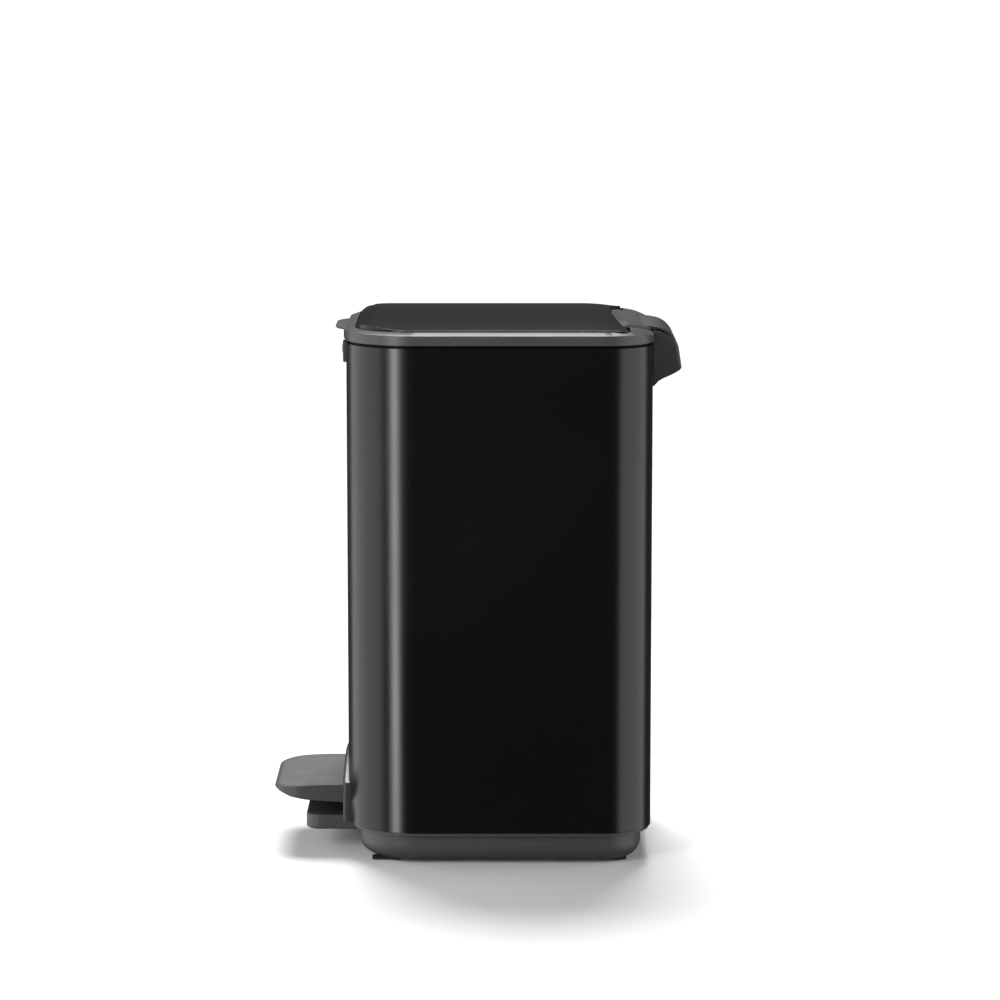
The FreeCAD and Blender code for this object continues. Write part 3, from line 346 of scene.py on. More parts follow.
    def slice_off(self, point: Vector, normal: Vector) -> "Workpiece":
        """Cut away what lies beyond a plane, on the side that the normal points to, and close the cut."""
        return self.shaped(Element.FACES, lambda middle, facing: True, bpy.ops.mesh.bisect, plane_co=point,
                           plane_no=normal, use_fill=True, clear_outer=True)

    def turn_outwards(self) -> "Workpiece":
        """Turn every face's normal outwards."""
        return self.shaped(Element.FACES, lambda middle, facing: True, bpy.ops.mesh.normals_make_consistent,
                           inside=False)

    def modify(self, kind: str, **settings: object) -> "Workpiece":
        """Add one modifier and apply it.

        Args:
            kind: The modifier's type.
            settings: Its settings by name.

        Returns:
            The same piece.
        """
        self.focus()
        modifier = self.thing.modifiers.new(kind.title(), kind)
        for name, value in settings.items():
            setattr(modifier, name, value)
        bpy.ops.object.modifier_apply(modifier=modifier.name)
        return self

    def combine(self, other: "Workpiece", how: Trim) -> "Workpiece":
        """Combine the piece with another solid.

        Args:
            other: The other solid, which is used up.
            how: Whether it is cut away, joined on, or only the common part is kept.

        Returns:
            The same piece.
        """
        self.modify("BOOLEAN", object=other.thing, operation=how.value, solver="EXACT")
        bpy.data.objects.remove(other.thing)
        return self

    def gather(self, *others: "Workpiece") -> "Workpiece":
        """Take separate closed shells into this piece.

        Args:
            others: The other shells.

        Returns:
            The same piece.
        """
        self.focus()
        for other in others:
            other.thing.select_set(True)
        bpy.ops.object.join()
        return self

    def clean(self, distance: float = 0.01) -> "Workpiece":
        """Merge doubled points and drop needless edges on flat faces.

        Args:
            distance: How close points are merged, in millimetres.

        Returns:
            The same piece.
        """
        with self.editing(Element.POINTS):
            bpy.ops.mesh.select_all(action="SELECT")
            bpy.ops.mesh.remove_doubles(threshold=distance * MM)
            bpy.ops.mesh.dissolve_limited(angle_limit=math.radians(0.4))
        return self

    def soften(self, width: float, segments: int = 3, angle: float = 30.0) -> "Workpiece":
        """Round every edge sharper than `angle` degrees; the width is in millimetres."""
        return self.modify("BEVEL", width=width * MM, segments=segments, limit_method="ANGLE",
                           angle_limit=math.radians(angle), harden_normals=False, miter_outer="MITER_ARC")

    def finish(self, angle: float = 35.0) -> "Workpiece":
        """Shade the piece smoothly and keep its large faces flat.

        Args:
            angle: Edges of up to this many degrees are smooth.

        Returns:
            The same piece.
        """
        self.focus()
        bpy.ops.object.shade_smooth_by_angle(angle=math.radians(angle))
        return self.modify("WEIGHTED_NORMAL", keep_sharp=True, weight=100)


# --- shader maths
@dataclass(frozen=True)
class Signal:
    """One output socket of a material's node tree, usable in sums."""

    paint: "Paint"
    socket: bpy.types.NodeSocket

    def _maths(self, operation: str, first: object, second: object) -> "Signal":
        """Return one Math node's result."""
        return self.paint.node("ShaderNodeMath", {"operation": operation}, {0: first, 1: second})

    def __add__(self, other: object) -> "Signal":
        """Return the sum."""
        return self._maths("ADD", self, other)

    def __sub__(self, other: object) -> "Signal":
        """Return the difference."""
        return self._maths("SUBTRACT", self, other)

    def __rsub__(self, other: object) -> "Signal":
        """Return the difference the other way round."""
        return self._maths("SUBTRACT", other, self)

    def __mul__(self, other: object) -> "Signal":
        """Return the product."""
        return self._maths("MULTIPLY", self, other)

    __radd__ = __add__
    __rmul__ = __mul__

    def clipped(self, low: float, high: float) -> "Signal":
        """Return the signal ramped from 0 at `low` to 1 at `high`."""
        return self.paint.node("ShaderNodeMapRange", {"clamp": True, "interpolation_type": "SMOOTHSTEP"},
                               {0: self, 1: low, 2: high})


class Paint:
    """Builds one procedural material on the object's own coordinates."""

    def __init__(self, name: str) -> None:
        """Start an empty principled material.

        Args:
            name: The material's name.
        """
        self.material = bpy.data.materials.new(name)
        self.material.use_nodes = True
        self.tree = self.material.node_tree
        self.shader = self.tree.nodes["Principled BSDF"]
        self.place = self.node("ShaderNodeTexCoord", {}, {}, output="Object")

    def node(self, kind: str, settings: dict, inputs: dict, output: object = 0) -> Signal:
        """Add one node.

        Args:
            kind: The node's type.
            settings: Its own settings, set before the sockets.
            inputs: Socket name or number to a value or a signal.
            output: Name or number of the output wanted.

        Returns:
            The output as a signal.
        """
        made = self.tree.nodes.new(kind)
        for name, value in settings.items():
            setattr(made, name, value)
        for name, value in inputs.items():
            self.feed(made.inputs[name], value)
        return Signal(self, made.outputs[output])

    def feed(self, socket: bpy.types.NodeSocket, value: object) -> None:
        """Link or set one socket.

        Args:
            socket: The socket.
            value: A signal to link, or a value to set.
        """
        if isinstance(value, Signal):
            self.tree.links.new(value.socket, socket)
        else:
            socket.default_value = value

    def set(self, **sockets: object) -> None:
        """Set or link the shader's own sockets; a name's underscores stand for spaces."""
        for name, value in sockets.items():
            self.feed(self.shader.inputs[name.replace("_", " ")], value)

    def noise(self, scale: float, detail: float = 3.0, roughness: float = 0.5,
              stretch: tuple[float, float, float] = (1.0, 1.0, 1.0)) -> Signal:
        """Return cloudy noise.

        Args:
            scale: How many clouds to the metre.
            detail: How many finer layers are added.
            roughness: How strong the finer layers are.
            stretch: Factor on each axis; a small one draws the clouds out.

        Returns:
            The noise, about 0 to 1.
        """
        place = self.node("ShaderNodeMapping", {}, {"Vector": self.place, "Scale": stretch})
        return self.node("ShaderNodeTexNoise", {}, {"Vector": place, "Scale": scale, "Detail": detail,
                                                    "Roughness": roughness})

    def cells(self, scale: float) -> Signal:
        """Return the distance to scattered points, `scale` of them to the metre."""
        return self.node("ShaderNodeTexVoronoi", {"feature": "F1"},
                         {"Vector": self.place, "Scale": scale}, output="Distance")

    def blend(self, amount: Signal, first: Sequence[float], second: Sequence[float]) -> Signal:
        """Return a colour that goes from the first to the second as the amount rises."""
        return self.node("ShaderNodeMix", {"data_type": "RGBA"},
                         {"Factor": amount, "A": (*first, 1.0), "B": (*second, 1.0)}, output="Result")

    def relief(self, height: Signal, depth: float, strength: float) -> None:
        """Give the surface a relief.

        Args:
            height: The height, about 0 to 1.
            depth: What a height of 1 stands for, in metres.
            strength: Share of the relief that shows.
        """
        bump = self.node("ShaderNodeBump", {}, {"Height": height, "Distance": depth, "Strength": strength},
                         output="Normal")
        self.set(Normal=bump)


def tone(level: float, tint: Sequence[float] = (1.0, 1.0, 1.0)) -> tuple[float, float, float]:
    """Return a near-neutral colour of the given brightness."""
    return tuple(level * part for part in tint)


@dataclass(frozen=True)
class Enamel:
    """Satin powder coat: deep, with a faint orange peel, dust and soft smears."""

    name: str
    level: float
    roughness: float
    specular: float = 0.5
    dust: float = 0.012
    peel: float = 900.0

    def material(self) -> bpy.types.Material:
        """Build the finish.

        Returns:
            The finish as a material.
        """
        paint = Paint(self.name)
        smear = paint.noise(9.0, 1.0, 0.5).clipped(0.30, 0.80)
        speck = paint.cells(520.0).clipped(0.30, 0.02)
        dusty = speck * paint.noise(26.0, 1.0).clipped(0.50, 0.80)
        paint.set(Base_Color=paint.blend(dusty * 0.5 + smear * 0.25, tone(self.level),
                                         tone(self.level + self.dust, (1.0, 0.99, 0.97))),
                  Roughness=self.roughness + smear * 0.03 + dusty * 0.05 - 0.01,
                  Specular_IOR_Level=self.specular)
        paint.relief(paint.noise(self.peel, 2.0), 0.00004, 0.35)
        return paint.material


@dataclass(frozen=True)
class Moulded:
    """Spark-grained moulded plastic with polished high spots and dust in the grain."""

    name: str
    level: float
    roughness: float
    grain: float = 1500.0
    depth: float = 0.00006
    specular: float = 0.5
    strength: float = 0.5

    def material(self) -> bpy.types.Material:
        """Build the finish.

        Returns:
            The finish as a material.
        """
        paint = Paint(self.name)
        grain = paint.noise(self.grain, 3.0, 0.6)
        cloud = paint.noise(22.0, 4.0, 0.6).clipped(0.3, 0.75)
        scuff = paint.noise(140.0, 5.0, 0.7, (1.0, 1.0, 0.25)).clipped(0.62, 0.78)
        paint.set(Base_Color=paint.blend(cloud * 0.6 + scuff * 0.4, tone(self.level),
                                         tone(self.level * 1.22, (1.0, 1.0, 1.01))),
                  Roughness=self.roughness + cloud * 0.07 - scuff * 0.08,
                  Specular_IOR_Level=self.specular)
        paint.relief(grain + scuff * 0.4, self.depth, self.strength)
        return paint.material


@dataclass(frozen=True)
class Grip:
    """Anti-slip rubber with a close pebbled grain."""

    name: str
    level: float
    roughness: float = 0.7
    pebble: float = 620.0

    def material(self) -> bpy.types.Material:
        """Build the finish.

        Returns:
            The finish as a material.
        """
        paint = Paint(self.name)
        pebble = paint.cells(self.pebble).clipped(0.75, 0.05)
        wear = paint.noise(30.0, 4.0, 0.6).clipped(0.4, 0.8)
        paint.set(Base_Color=paint.blend(wear * 0.7 + pebble * 0.3, tone(self.level),
                                         tone(self.level * 1.35)),
                  Roughness=self.roughness - wear * 0.12, Specular_IOR_Level=0.4)
        paint.relief(pebble + paint.noise(2600.0, 2.0) * 0.4, 0.00025, 0.8)
        return paint.material


@dataclass(frozen=True)
class Steel:
    """Plain or plated steel with drawing lines and a dulled film."""

    name: str
    level: float
    roughness: float
    lines: tuple[float, float, float] = (1.0, 1.0, 1.0)

    def material(self) -> bpy.types.Material:
        """Build the finish.

        Returns:
            The finish as a material.
        """
        paint = Paint(self.name)
        streak = paint.noise(700.0, 3.0, 0.6, self.lines)
        film = paint.noise(55.0, 4.0, 0.6).clipped(0.35, 0.75)
        paint.set(Base_Color=paint.blend(film, tone(self.level, (1.0, 1.0, 1.01)),
                                         tone(self.level * 0.72, (1.0, 0.98, 0.94))),
                  Metallic=1.0, Roughness=self.roughness + film * 0.14 + streak * 0.06)
        paint.relief(streak, 0.00003, 0.4)
        return paint.material


class Finish(Enum):
    """Every finish of the bin; the value says how it is made and which slot it answers to."""

    BODY_PAINT = (Enamel("black_powder_coat", 0.0015, 0.26, 0.42, 0.002), "black_paint")
    LID_PAINT = (Enamel("black_lid_coat", 0.0060, 0.25, 0.20, 0.004), "black_paint")
    FRAME = (Moulded("charcoal_lid_plastic", 0.035, 0.38, specular=0.45), "charcoal_plastic")
    HOUSING = (Moulded("charcoal_housing_plastic", 0.036, 0.46, specular=0.35), "charcoal_plastic")
    BASE = (Moulded("charcoal_base_plastic", 0.048, 0.44, specular=0.4), "charcoal_plastic")
    BEZEL = (Moulded("charcoal_bezel_plastic", 0.030, 0.36, specular=0.4), "charcoal_plastic")
    PEDAL = (Moulded("charcoal_pedal_plastic", 0.044, 0.42, specular=0.4), "charcoal_plastic")
    # Near-black with almost no reflection: partly the collar's own black plastic, partly painted shade, so
    # the gap between the lid and the body reads dark.
    COLLAR = (Moulded("black_collar_and_gap_shade", 0.003, 0.5, specular=0.08), "black_plastic")
    INNER = (Moulded("black_inner_plastic", 0.006, 0.5, specular=0.2), "black_plastic")
    BUCKET = (Moulded("grey_bucket_plastic", 0.045, 0.42, 700.0), "grey_plastic")
    TREAD = (Grip("pedal_tread_rubber", 0.070, 0.62), "tread_rubber")
    FOOT = (Grip("foot_rubber", 0.012, 0.8, 900.0), "black_rubber")
    SEAL = (Moulded("lid_seal_rubber", 0.002, 0.7, specular=0.05), "black_rubber")
    PLATED = (Steel("zinc_plated_steel", 0.5, 0.32), "zinc_steel")
    BRIGHT = (Steel("drawn_steel", 0.6, 0.22, (1.0, 1.0, 0.1)), "bright_steel")
    WIRE = (Steel("plated_wire", 0.5, 0.3), "zinc_wire")
    ACETAL = (Moulded("white_acetal", 0.6, 0.35), "white_plastic")

    def __init__(self, recipe: object, slot: str) -> None:
        """Keep the recipe and the slot's name."""
        self.recipe = recipe
        self.slot = slot

    def material(self) -> bpy.types.Material:
        """Return the material, made once."""
        return bpy.data.materials.get(self.recipe.name) or self.recipe.material()


def dress(piece: Workpiece, finish: Finish, body: str, *nodes: str) -> Workpiece:
    """Give a finished piece its material, its moving body and the nodes that it stands for.

    Args:
        piece: The finished piece.
        finish: Its finish.
        body: The moving body that it rides on.
        nodes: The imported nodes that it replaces.

    Returns:
        The same piece.
    """
    piece.thing.data.materials.clear()
    piece.thing.data.materials.append(finish.material())
    if nodes:
        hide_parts(*nodes)
    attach(piece.thing, body)
    LOG.info("%s: %d faces on %s", piece.thing.name, len(piece.thing.data.polygons), body)
    return piece


def redress(finish: Finish, *nodes: str) -> None:
    """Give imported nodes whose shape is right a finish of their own.

    Args:
        finish: Their finish.
        nodes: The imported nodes.
    """
    for node in nodes:
        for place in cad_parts[node].material_slots:
            place.material = finish.material()
        LOG.info("%s keeps its shape, in %s", node, finish.name.lower())


# --- the steel body
@dataclass
class SteelBody:
    """Painted steel wrap with rolled hems, the pedal window and the opening for the hinge."""

    low: float = 31.0
    high: float = 461.1
    steel: float = 1.2
    hem: float = 2.7
    hem_height: float = 3.0
    hem_round: float = 0.9
    window_low: Place = (-68.0, -150.0, 33.0)
    window_high: Place = (68.0, -115.0, 66.0)
    hinge_low: Place = (-30.0, 120.0, 438.0)
    hinge_high: Place = (30.0, 150.0, 466.1)
    beyond: float = 5.0
    steps: int = 28

    def build(self) -> None:
        """Build and dress the wrap."""
        wrap = Workpiece.prism("body_wrap", BODY_PLAN, self.low, self.high, self.steps)
        wrap.combine(Workpiece.prism("bore", BODY_PLAN.moved_in(self.hem), self.low - self.beyond,
                                     self.high + self.beyond, self.steps), Trim.CUT)
        wrap.combine(Workpiece.prism("barrel", BODY_PLAN.moved_in(self.steel), self.low + self.hem_height,
                                     self.high - self.hem_height, self.steps), Trim.CUT)
        wrap.combine(Workpiece.block("window", at(*self.window_low), at(*self.window_high)), Trim.CUT)
        wrap.combine(Workpiece.block("hinge_gap", at(*self.hinge_low), at(*self.hinge_high)), Trim.CUT)
        wrap.clean().soften(self.hem_round, 3, 50).finish(40)
        dress(wrap, Finish.BODY_PAINT, "cabinet", "outer_shell")


# --- the base
@dataclass
class Base:
    """Plastic base with its rounded tub, top flange and spigot, and the bumper under the pedal."""

    inset: float = 9.0
    low: float = 2.2
    bottom_round: float = 16.0
    wall: float = 2.5
    sink: float = 9.0
    well: float = 13.0
    flange: tuple[float, float] = (28.0, 31.0)
    flange_insets: tuple[float, float] = (2.0, 11.5)
    spigot_insets: tuple[float, float] = (2.9, 5.0)
    spigot_top: float = 45.0
    gap_low: Place = (-70.0, -150.0, 30.9)
    gap_high: Place = (70.0, -110.0, 60.0)
    beyond: float = 10.0
    bumper_low: Place = (-60.0, -174.0, 19.6)
    bumper_high: Place = (60.0, -140.2, 33.4)
    bumper_run: float = 14.2
    bumper_fall: float = 5.6
    bumper_lean: float = 0.6
    bumper_corner: float = 13.0
    bumper_round: float = 2.2

    def build(self) -> None:
        """Build and dress the base and the bumper."""
        flange_low, flange_high = self.flange
        tub = Workpiece.prism("base_tub", BODY_PLAN.moved_in(self.inset), self.low, flange_low)
        floor = self.low * MM
        tub.bevel(lambda middle, way: abs(middle.z - floor) < HAIR, self.bottom_round, 8)
        shelf = (flange_low - self.sink / 2) * MM
        tub.inset(lambda middle, normal: faces_up(normal), self.wall)
        tub.inset(lambda middle, normal: faces_up(normal) and middle.z > shelf and abs(middle.x) < 10 * MM,
                  HAIR / MM, -self.sink)
        tub.inset(lambda middle, normal: faces_up(normal) and middle.z < shelf and abs(middle.x) < 10 * MM,
                  self.well, -self.well)
        tub.finish()
        outer, inner = self.flange_insets
        ledge = Workpiece.prism("ledge", BODY_PLAN.moved_in(outer), flange_low, flange_high)
        ledge.combine(Workpiece.prism("ledge_bore", BODY_PLAN.moved_in(inner), flange_low - self.beyond,
                                      flange_high + self.beyond), Trim.CUT)
        ledge.soften(0.7, 3, 50).finish()
        outer, inner = self.spigot_insets
        spigot = Workpiece.prism("spigot", BODY_PLAN.moved_in(outer), flange_high, self.spigot_top)
        spigot.combine(Workpiece.prism("spigot_bore", BODY_PLAN.moved_in(inner), flange_high - self.beyond,
                                       self.spigot_top + self.beyond), Trim.CUT)
        spigot.combine(Workpiece.block("pedal_gap", at(*self.gap_low), at(*self.gap_high)), Trim.CUT)
        spigot.soften(0.4, 2, 50).finish()
        dress(tub.gather(ledge, spigot), Finish.BASE, "cabinet", "base_tray")
        self.build_bumper()

    def build_bumper(self) -> None:
        """Build and dress the bumper that stands out under the pedal."""
        low, high = at(*self.bumper_low), at(*self.bumper_high)
        bumper = Workpiece.block("bumper", low, high)
        bumper.extrude(lambda middle, normal: normal.y > ALIGNED, Vector((0, self.bumper_run * MM, 0)))
        bumper.move(lambda point: point.y > high.y + MM and point.z > high.z - MM,
                    Vector((0, 0, -self.bumper_fall * MM)))
        bumper.move(lambda point: abs(point.y - high.y) < MM and point.z > high.z - MM,
                    Vector((0, -self.bumper_lean * MM, 0)))
        bumper.bevel(lambda middle, way: upright(way) and middle.y < low.y + MM, self.bumper_corner, 10)
        bumper.soften(self.bumper_round, 4, 28).finish()
        dress(bumper, Finish.BASE, "cabinet", "toe_bumper")


# --- pedal
@dataclass
class Pedal:
    """Foot pedal, its tread and the bezel round its opening."""

    shoe_low: Place = (-66.0, -202.5, 44.0)
    shoe_high: Place = (66.0, -131.0, 62.0)
    corner: float = 24.0
    underside: Line = ((-131.0, 45.0), (-174.0, 48.0), (-188.0, 50.6), (-196.0, 53.4), (-202.5, 56.0))
    brow: Line = ((-158.0, 62.0), (-172.0, 61.5), (-184.0, 60.6), (-195.0, 59.3), (-202.5, 58.0))
    tread_plan: Outline = Outline(64.0, 199.0, 60.0, 22.0, 2.0)
    tread_root: tuple[float, float] = (-140.5, 62.0)
    tread_tip: tuple[float, float] = (-199.0, 58.6)
    tread_proud: float = 0.25
    tread_sunk: float = 0.8
    bezel_half: float = 76.0
    bezel_front: float = -139.8
    bezel_low: float = 31.0
    bezel_run: float = 12.0
    bezel_steps: int = 28
    shoulder: float = 66.0
    crown: float = 83.0
    window_low: Place = (-68.0, -150.0, 33.0)
    window_high: Place = (68.0, -110.0, 66.0)
    rim_round: float = 2.6

    def build(self) -> None:
        """Build and dress the pedal, the tread and the bezel."""
        low, high = at(*self.shoe_low), at(*self.shoe_high)
        shoe = Workpiece.block("pedal", low, high)
        shoe.bevel(lambda middle, way: upright(way) and middle.y < low.y + MM, self.corner, 14)
        for line, side in ((self.underside, -1), (self.brow, 1)):
            for (y0, z0), (y1, z1) in zip(line, line[1:]):
                normal = Vector((0, z1 - z0, y0 - y1)).normalized() * side
                shoe.slice_off(at(0, y0, z0), normal if normal.z * side > 0 else -normal)
        shoe.clean().soften(1.1, 3, 24).finish(30)
        dress(shoe, Finish.PEDAL, "pedal", "pedal_shoe")
        self.build_tread()
        self.build_bezel()

    def build_tread(self) -> None:
        """Build and dress the thin grip sheet let into the pedal's top."""
        line = [self.tread_root, *self.brow[:-1], self.tread_tip]
        above = [(y, z + self.tread_proud) for y, z in line]
        below = [(y, z - self.tread_sunk) for y, z in reversed(line)]
        tread = Workpiece.slab("tread", above + below, self.tread_plan.half_width)
        tread.combine(Workpiece.prism("tread_plan", self.tread_plan, 40, 80, 14), Trim.KEEP)
        tread.clean().soften(0.3, 2, 60).finish()
        dress(tread, Finish.TREAD, "pedal", "pedal_tread")

    def build_bezel(self) -> None:
        """Build and dress the arched bezel."""
        half, front, low = self.bezel_half, self.bezel_front, self.bezel_low
        rise = self.crown - self.shoulder
        radius = (half ** 2 + rise ** 2) / (2 * rise)
        corners = [at(-half, front, low), at(half, front, low)]
        for step in range(self.bezel_steps + 1):
            x = half * (1 - 2 * step / self.bezel_steps)
            corners.append(at(x, front, self.crown - radius + math.sqrt(radius ** 2 - x ** 2)))
        bezel = Workpiece.profile("pedal_bezel_plate", corners, Vector((0, self.bezel_run * MM, 0)))
        window_high = at(*self.window_high)
        bezel.combine(Workpiece.block("window", at(*self.window_low), window_high), Trim.CUT)
        bezel.combine(Workpiece.prism("wrap_core", BODY_PLAN, 20, 120), Trim.CUT)
        face = at(0, front, 0).y
        bezel.bevel(lambda middle, way: abs(middle.y - face) < 0.1 * MM and abs(way.y) < 0.1 * MM
                    and (abs(middle.x) > window_high.x + MM or middle.z > window_high.z + 0.5 * MM)
                    and middle.z > (low + 0.5) * MM, self.rim_round, 5)
        bezel.clean().soften(0.5, 2, 60).finish(40)
        dress(bezel, Finish.BEZEL, "cabinet", "pedal_bezel")


# --- lid
@dataclass
class Crown:
    """The lid's gentle dome: level along the back, falling to the front and to both sides."""

    edge: float = 475.6
    peak: float = 486.4
    front: float = -126.0
    level_from: float = -92.0
    nose_power: int = 5
    half: float = 117.0
    tail_from: float = 76.0
    tail: float = 99.4
    tail_drop: float = 0.22
    tail_reach: float = 1.4
    over: float = 13.0
    cells: int = 56
    pitch: float = 4.2
    rim_shares: tuple[float, ...] = (0.0, 0.22, 0.55, 1.0)

    def along(self, y: float) -> float:
        """Return how much of the rise is reached on the middle line.

        Args:
            y: The place along, in millimetres.

        Returns:
            1 on the level part, less at the nose and at the tail.
        """
        if y < self.level_from:
            part = (self.level_from - y) / (self.level_from - self.front)
            return 1.0 - min(part, 1.0) ** self.nose_power
        part = max((y - self.tail_from) / (self.tail - self.tail_from), 0.0)
        return 1.0 - self.tail_drop * min(part, self.tail_reach) ** 2

    def across(self, x: float) -> float:
        """Return how much of the rise is left at `x` off the middle line."""
        return 1.0 - min(abs(x) / self.half, 1.0) ** 2

    def form(self, drop: float) -> Workpiece:
        """Build the open domed sheet that tops are pressed to.

        Args:
            drop: How far it lies under the dome, in millimetres.

        Returns:
            The sheet.
        """
        bpy.ops.object.select_all(action="DESELECT")
        middle = at(0, 0, self.edge - drop)
        span = 2 * (self.half + self.over) * MM
        bpy.ops.mesh.primitive_grid_add(x_subdivisions=self.cells, y_subdivisions=self.cells, size=span,
                                        location=middle)
        sheet = Workpiece.started("crown_form")
        rise = (self.peak - self.edge) * MM
        step = span / self.cells
        places = [-span / 2 + count * step for count in range(self.cells + 1)]
        for place in places:
            sheet.move(lambda point: abs(point.y - BODY_MIDDLE - place) < step / 4,
                       Vector((0, 0, rise * self.along(place / MM))))
        for place in places:
            sheet.stretch(lambda point: abs(point.x - place) < step / 4,
                          Vector((1, 1, max(self.across(place / MM), 0.0001))), Vector((0, 0, middle.z)))
        return sheet

    def score(self, cap: Workpiece, top: float) -> None:
        """Score the cap's top face into a grid, so that it can be bent.

        Args:
            cap: The cap.
            top: Height of its top face, in millimetres.
        """
        cap.mark(Element.FACES, lambda middle, normal: faces_up(normal) and middle.z > top * MM - HAIR)
        with cap.editing(Element.FACES):
            bpy.ops.mesh.hide(unselected=True)
            for count in range(1, int(2 * self.half / self.pitch)):
                place = self.pitch * count - self.half
                for point, normal in ((at(place, 0, top), (1, 0, 0)), (at(0, place, top), (0, 1, 0))):
                    bpy.ops.mesh.select_all(action="SELECT")
                    bpy.ops.mesh.bisect(plane_co=point, plane_no=normal)
            bpy.ops.mesh.reveal(select=False)

    def press(self, cap: Workpiece, top: float, round_over: float, drop: float = 0.0) -> Workpiece:
        """Round the rim of a flat-topped cap and press its top to the dome.

        Args:
            cap: A prism whose flat top lies at `top`.
            top: Height of that top, in millimetres.
            round_over: Radius of the rounded rim, in millimetres.
            drop: How far the pressed top lies under the dome.

        Returns:
            The same cap.
        """
        lifts = [round_over * math.sqrt(1 - (1 - share) ** 2) for share in self.rim_shares]
        for share, after, lift, higher in zip(self.rim_shares, self.rim_shares[1:], lifts, lifts[1:]):
            level = (top + lift) * MM - HAIR
            cap.inset(lambda middle, normal: faces_up(normal) and middle.z > level,
                      (after - share) * round_over, higher - lift)
        self.score(cap, top + round_over)
        rings = cap.thing.vertex_groups
        for lift in lifts:
            cap.mark(Element.POINTS, lambda point: abs(point.z - (top + lift) * MM) < HAIR / 2)
            with cap.editing(Element.POINTS):
                bpy.ops.object.vertex_group_assign_new()
        sheet = self.form(drop)
        for name, lift in zip([ring.name for ring in rings], lifts):
            cap.modify("SHRINKWRAP", target=sheet.thing, wrap_method="PROJECT", use_project_z=True,
                       use_positive_direction=True, use_negative_direction=True, vertex_group=name)
            rings.active = rings[name]
            with cap.editing(Element.POINTS):
                bpy.ops.mesh.select_all(action="DESELECT")
                bpy.ops.object.vertex_group_select()
                bpy.ops.transform.translate(value=(0, 0, (lift - round_over) * MM))
        rings.clear()
        bpy.data.objects.remove(sheet.thing)
        return cap


